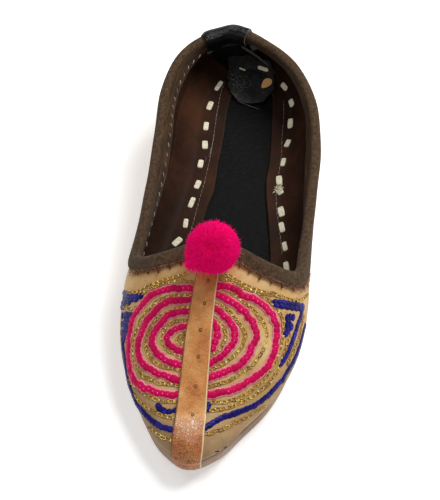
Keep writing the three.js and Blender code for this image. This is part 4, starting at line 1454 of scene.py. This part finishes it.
# %% [markdown]
# ## Pinholes, scuffs and glints
# A row of tacking holes, drawn as rings of painted shade, runs down the strip. Two dark scuffs mark the toe. Copper
# thread glints along the trim.

# %%
# Each tacking hole is at (y, how far across the strip).
HOLES = [(-38.1, 0.62), (-47.7, 0.60), (-59.2, 0.58), (-70.5, 0.60), (-83.6, 0.60), (-97.8, 0.56)]
hole_s = np.array([(STRIP_TOP_Y - y) / (STRIP_TOP_Y - BEND_Y) * STRAIGHT for y, _ in HOLES])
hole_at = strip_place(hole_s, np.array([t for _, t in HOLES]), 1.56)
_, hole_out = on_leather(hole_at)
hole_places = []
for place, out in zip(hole_at, hole_out):
    along = unit(np.cross((1, 0, 0), out))
    hole_places.append((place, along * 1.35, np.cross(out, along) * 1.35, out * 2.0))
# Each hole is a dark ring of painted shade laid on the strip, with a pale dome in its middle.
holes = strewn("strip_pinholes", loop, hole_places)
worn(holes, hole_shade_and_scuff, "strip_leather")
pins = strewn("strip_pins", lobe, [(o + c * 0.02, a * 0.62, b * 0.62, c * 0.5) for o, a, b, c in hole_places])
worn(pins, raw_edge, "strip_leather")
scuff_u, scuff_v = np.array([0.463, 0.4625, 0.451, 0.452]), np.array([0.269, 0.25, 0.206, 0.22])
scuff_places = []
for p, n, long in zip(last_point(scuff_u, scuff_v), last_normal(scuff_u, scuff_v), (2.4, 1.2, 2.0, 1.0)):
    along = np.cross(n, (0.3, 0.3, 1))
    scuff_places.append((p + n * 0.1, unit(along) * long, unit(np.cross((0.3, 0.3, 1), along)) * 0.5, n * 0.3))
scuffs = strewn("toe_scuffs", thong, scuff_places)
worn(scuffs, hole_shade_and_scuff, "strip_leather")
seam_v = np.arange(0.06, 0.40, 0.045)
seam_places = []
for u in (0.9965, 0.0035):
    seam_u = seam_v * 0 + u
    ends = last_point(seam_u, seam_v), last_point(seam_u, seam_v + 0.01), last_normal(seam_u, seam_v)
    for p, q, n in zip(*ends):
        seam_places.append((p + n * 0.1, unit(q - p) * 1.6, unit(np.cross(n, q - p)) * 0.4, n * 0.4))
seam = strewn("back_seam_stitches", thong, seam_places)
worn(seam, copper_thread, "trim_leather")

glint_s = np.arange(TRIM_FROM + 0.004, 1 - TRIM_FROM, 0.0052)
glint_at = along_collar(glint_s, 6.5, 0.95)
_, glint_out = on_leather(glint_at)
glint_places = []
for place, out, s in zip(glint_at, glint_out, glint_s):
    run = unit(along_collar(np.array([s + 0.002]), 7.0, 0.95)[0] - place)
    if chance.random() < 0.75:
        glint_places.append((place, run * 1.5, np.cross(out, run) * 0.4, out * 0.35))
glints = strewn("trim_glints", thong, glint_places)
worn(glints, copper_thread, "trim_leather")

for shape in (thong, lobe, loop, fat_loop):
    alone(shape)
    bpy.ops.object.delete()

# %% [markdown]
# ## Floor, light and camera
# A pale floor, one large soft light over the shoe and two weaker ones. The camera looks down at the toe from the
# photo's angle, a long way off through a long lens.

# %%
bpy.ops.object.select_all(action="DESELECT")
bpy.ops.mesh.primitive_plane_add(size=6, location=(0, 0, -0.0005))
floor = bpy.context.object
floor.name = "floor"
floor_white = glowing(finish("floor_white", 0.9), (1, 1, 1), 0.35)
floor_white.shader["Base Color"].default_value = (0.92, 0.92, 0.92, 1)
dressed(floor, floor_white)
floor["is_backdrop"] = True

world_data = bpy.data.worlds.new("studio")
bpy.context.scene.world = world_data
world_data.use_nodes = True
world_data.node_tree.nodes["Background"].inputs[0].default_value = (1, 1, 1, 1)
world_data.node_tree.nodes["Background"].inputs[1].default_value = 0.24


def soft_light(name, place, aim, size, power):
    bpy.ops.object.select_all(action="DESELECT")
    bpy.ops.object.light_add(type="AREA", location=place)
    light = bpy.context.object
    light.name = name
    light.data.size = size
    light.data.energy = power
    away = light.location - type(light.location)(aim)
    light.rotation_euler = away.to_track_quat("Z", "Y").to_euler()


soft_light("key", (0.34, 0.38, 0.72), (0, 0, 0.02), 0.42, 7.6)
soft_light("fill", (-0.5, 0.25, 0.65), (0, 0, 0.02), 0.6, 1.6)
soft_light("front", (0.1, -0.8, 0.5), (0, -0.05, 0.02), 0.5, 0.7)

bpy.ops.object.select_all(action="DESELECT")
bpy.ops.object.camera_add()
camera = bpy.context.object
camera.name = "photo_camera"
matrix = np.eye(4)
matrix[:3, 0], matrix[:3, 1], matrix[:3, 2] = right, up, back
matrix[:3, 3] = world(eye)
camera.matrix_world = Matrix(matrix.tolist())
camera.data.lens, camera.data.sensor_width = 123.6, 36
camera.data.shift_x, camera.data.shift_y = -4 / 500, -3 / 500
bpy.context.scene.camera = camera
bpy.context.scene.view_settings.view_transform = "Standard"
print("camera at", np.round(matrix[:3, 3], 3))

# %%
new_low, new_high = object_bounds()
grown = (np.array(cad_low) - new_low) / MM, (np.array(new_high) - cad_high) / MM
print("grown by", *np.round(grown, 1), "mm")
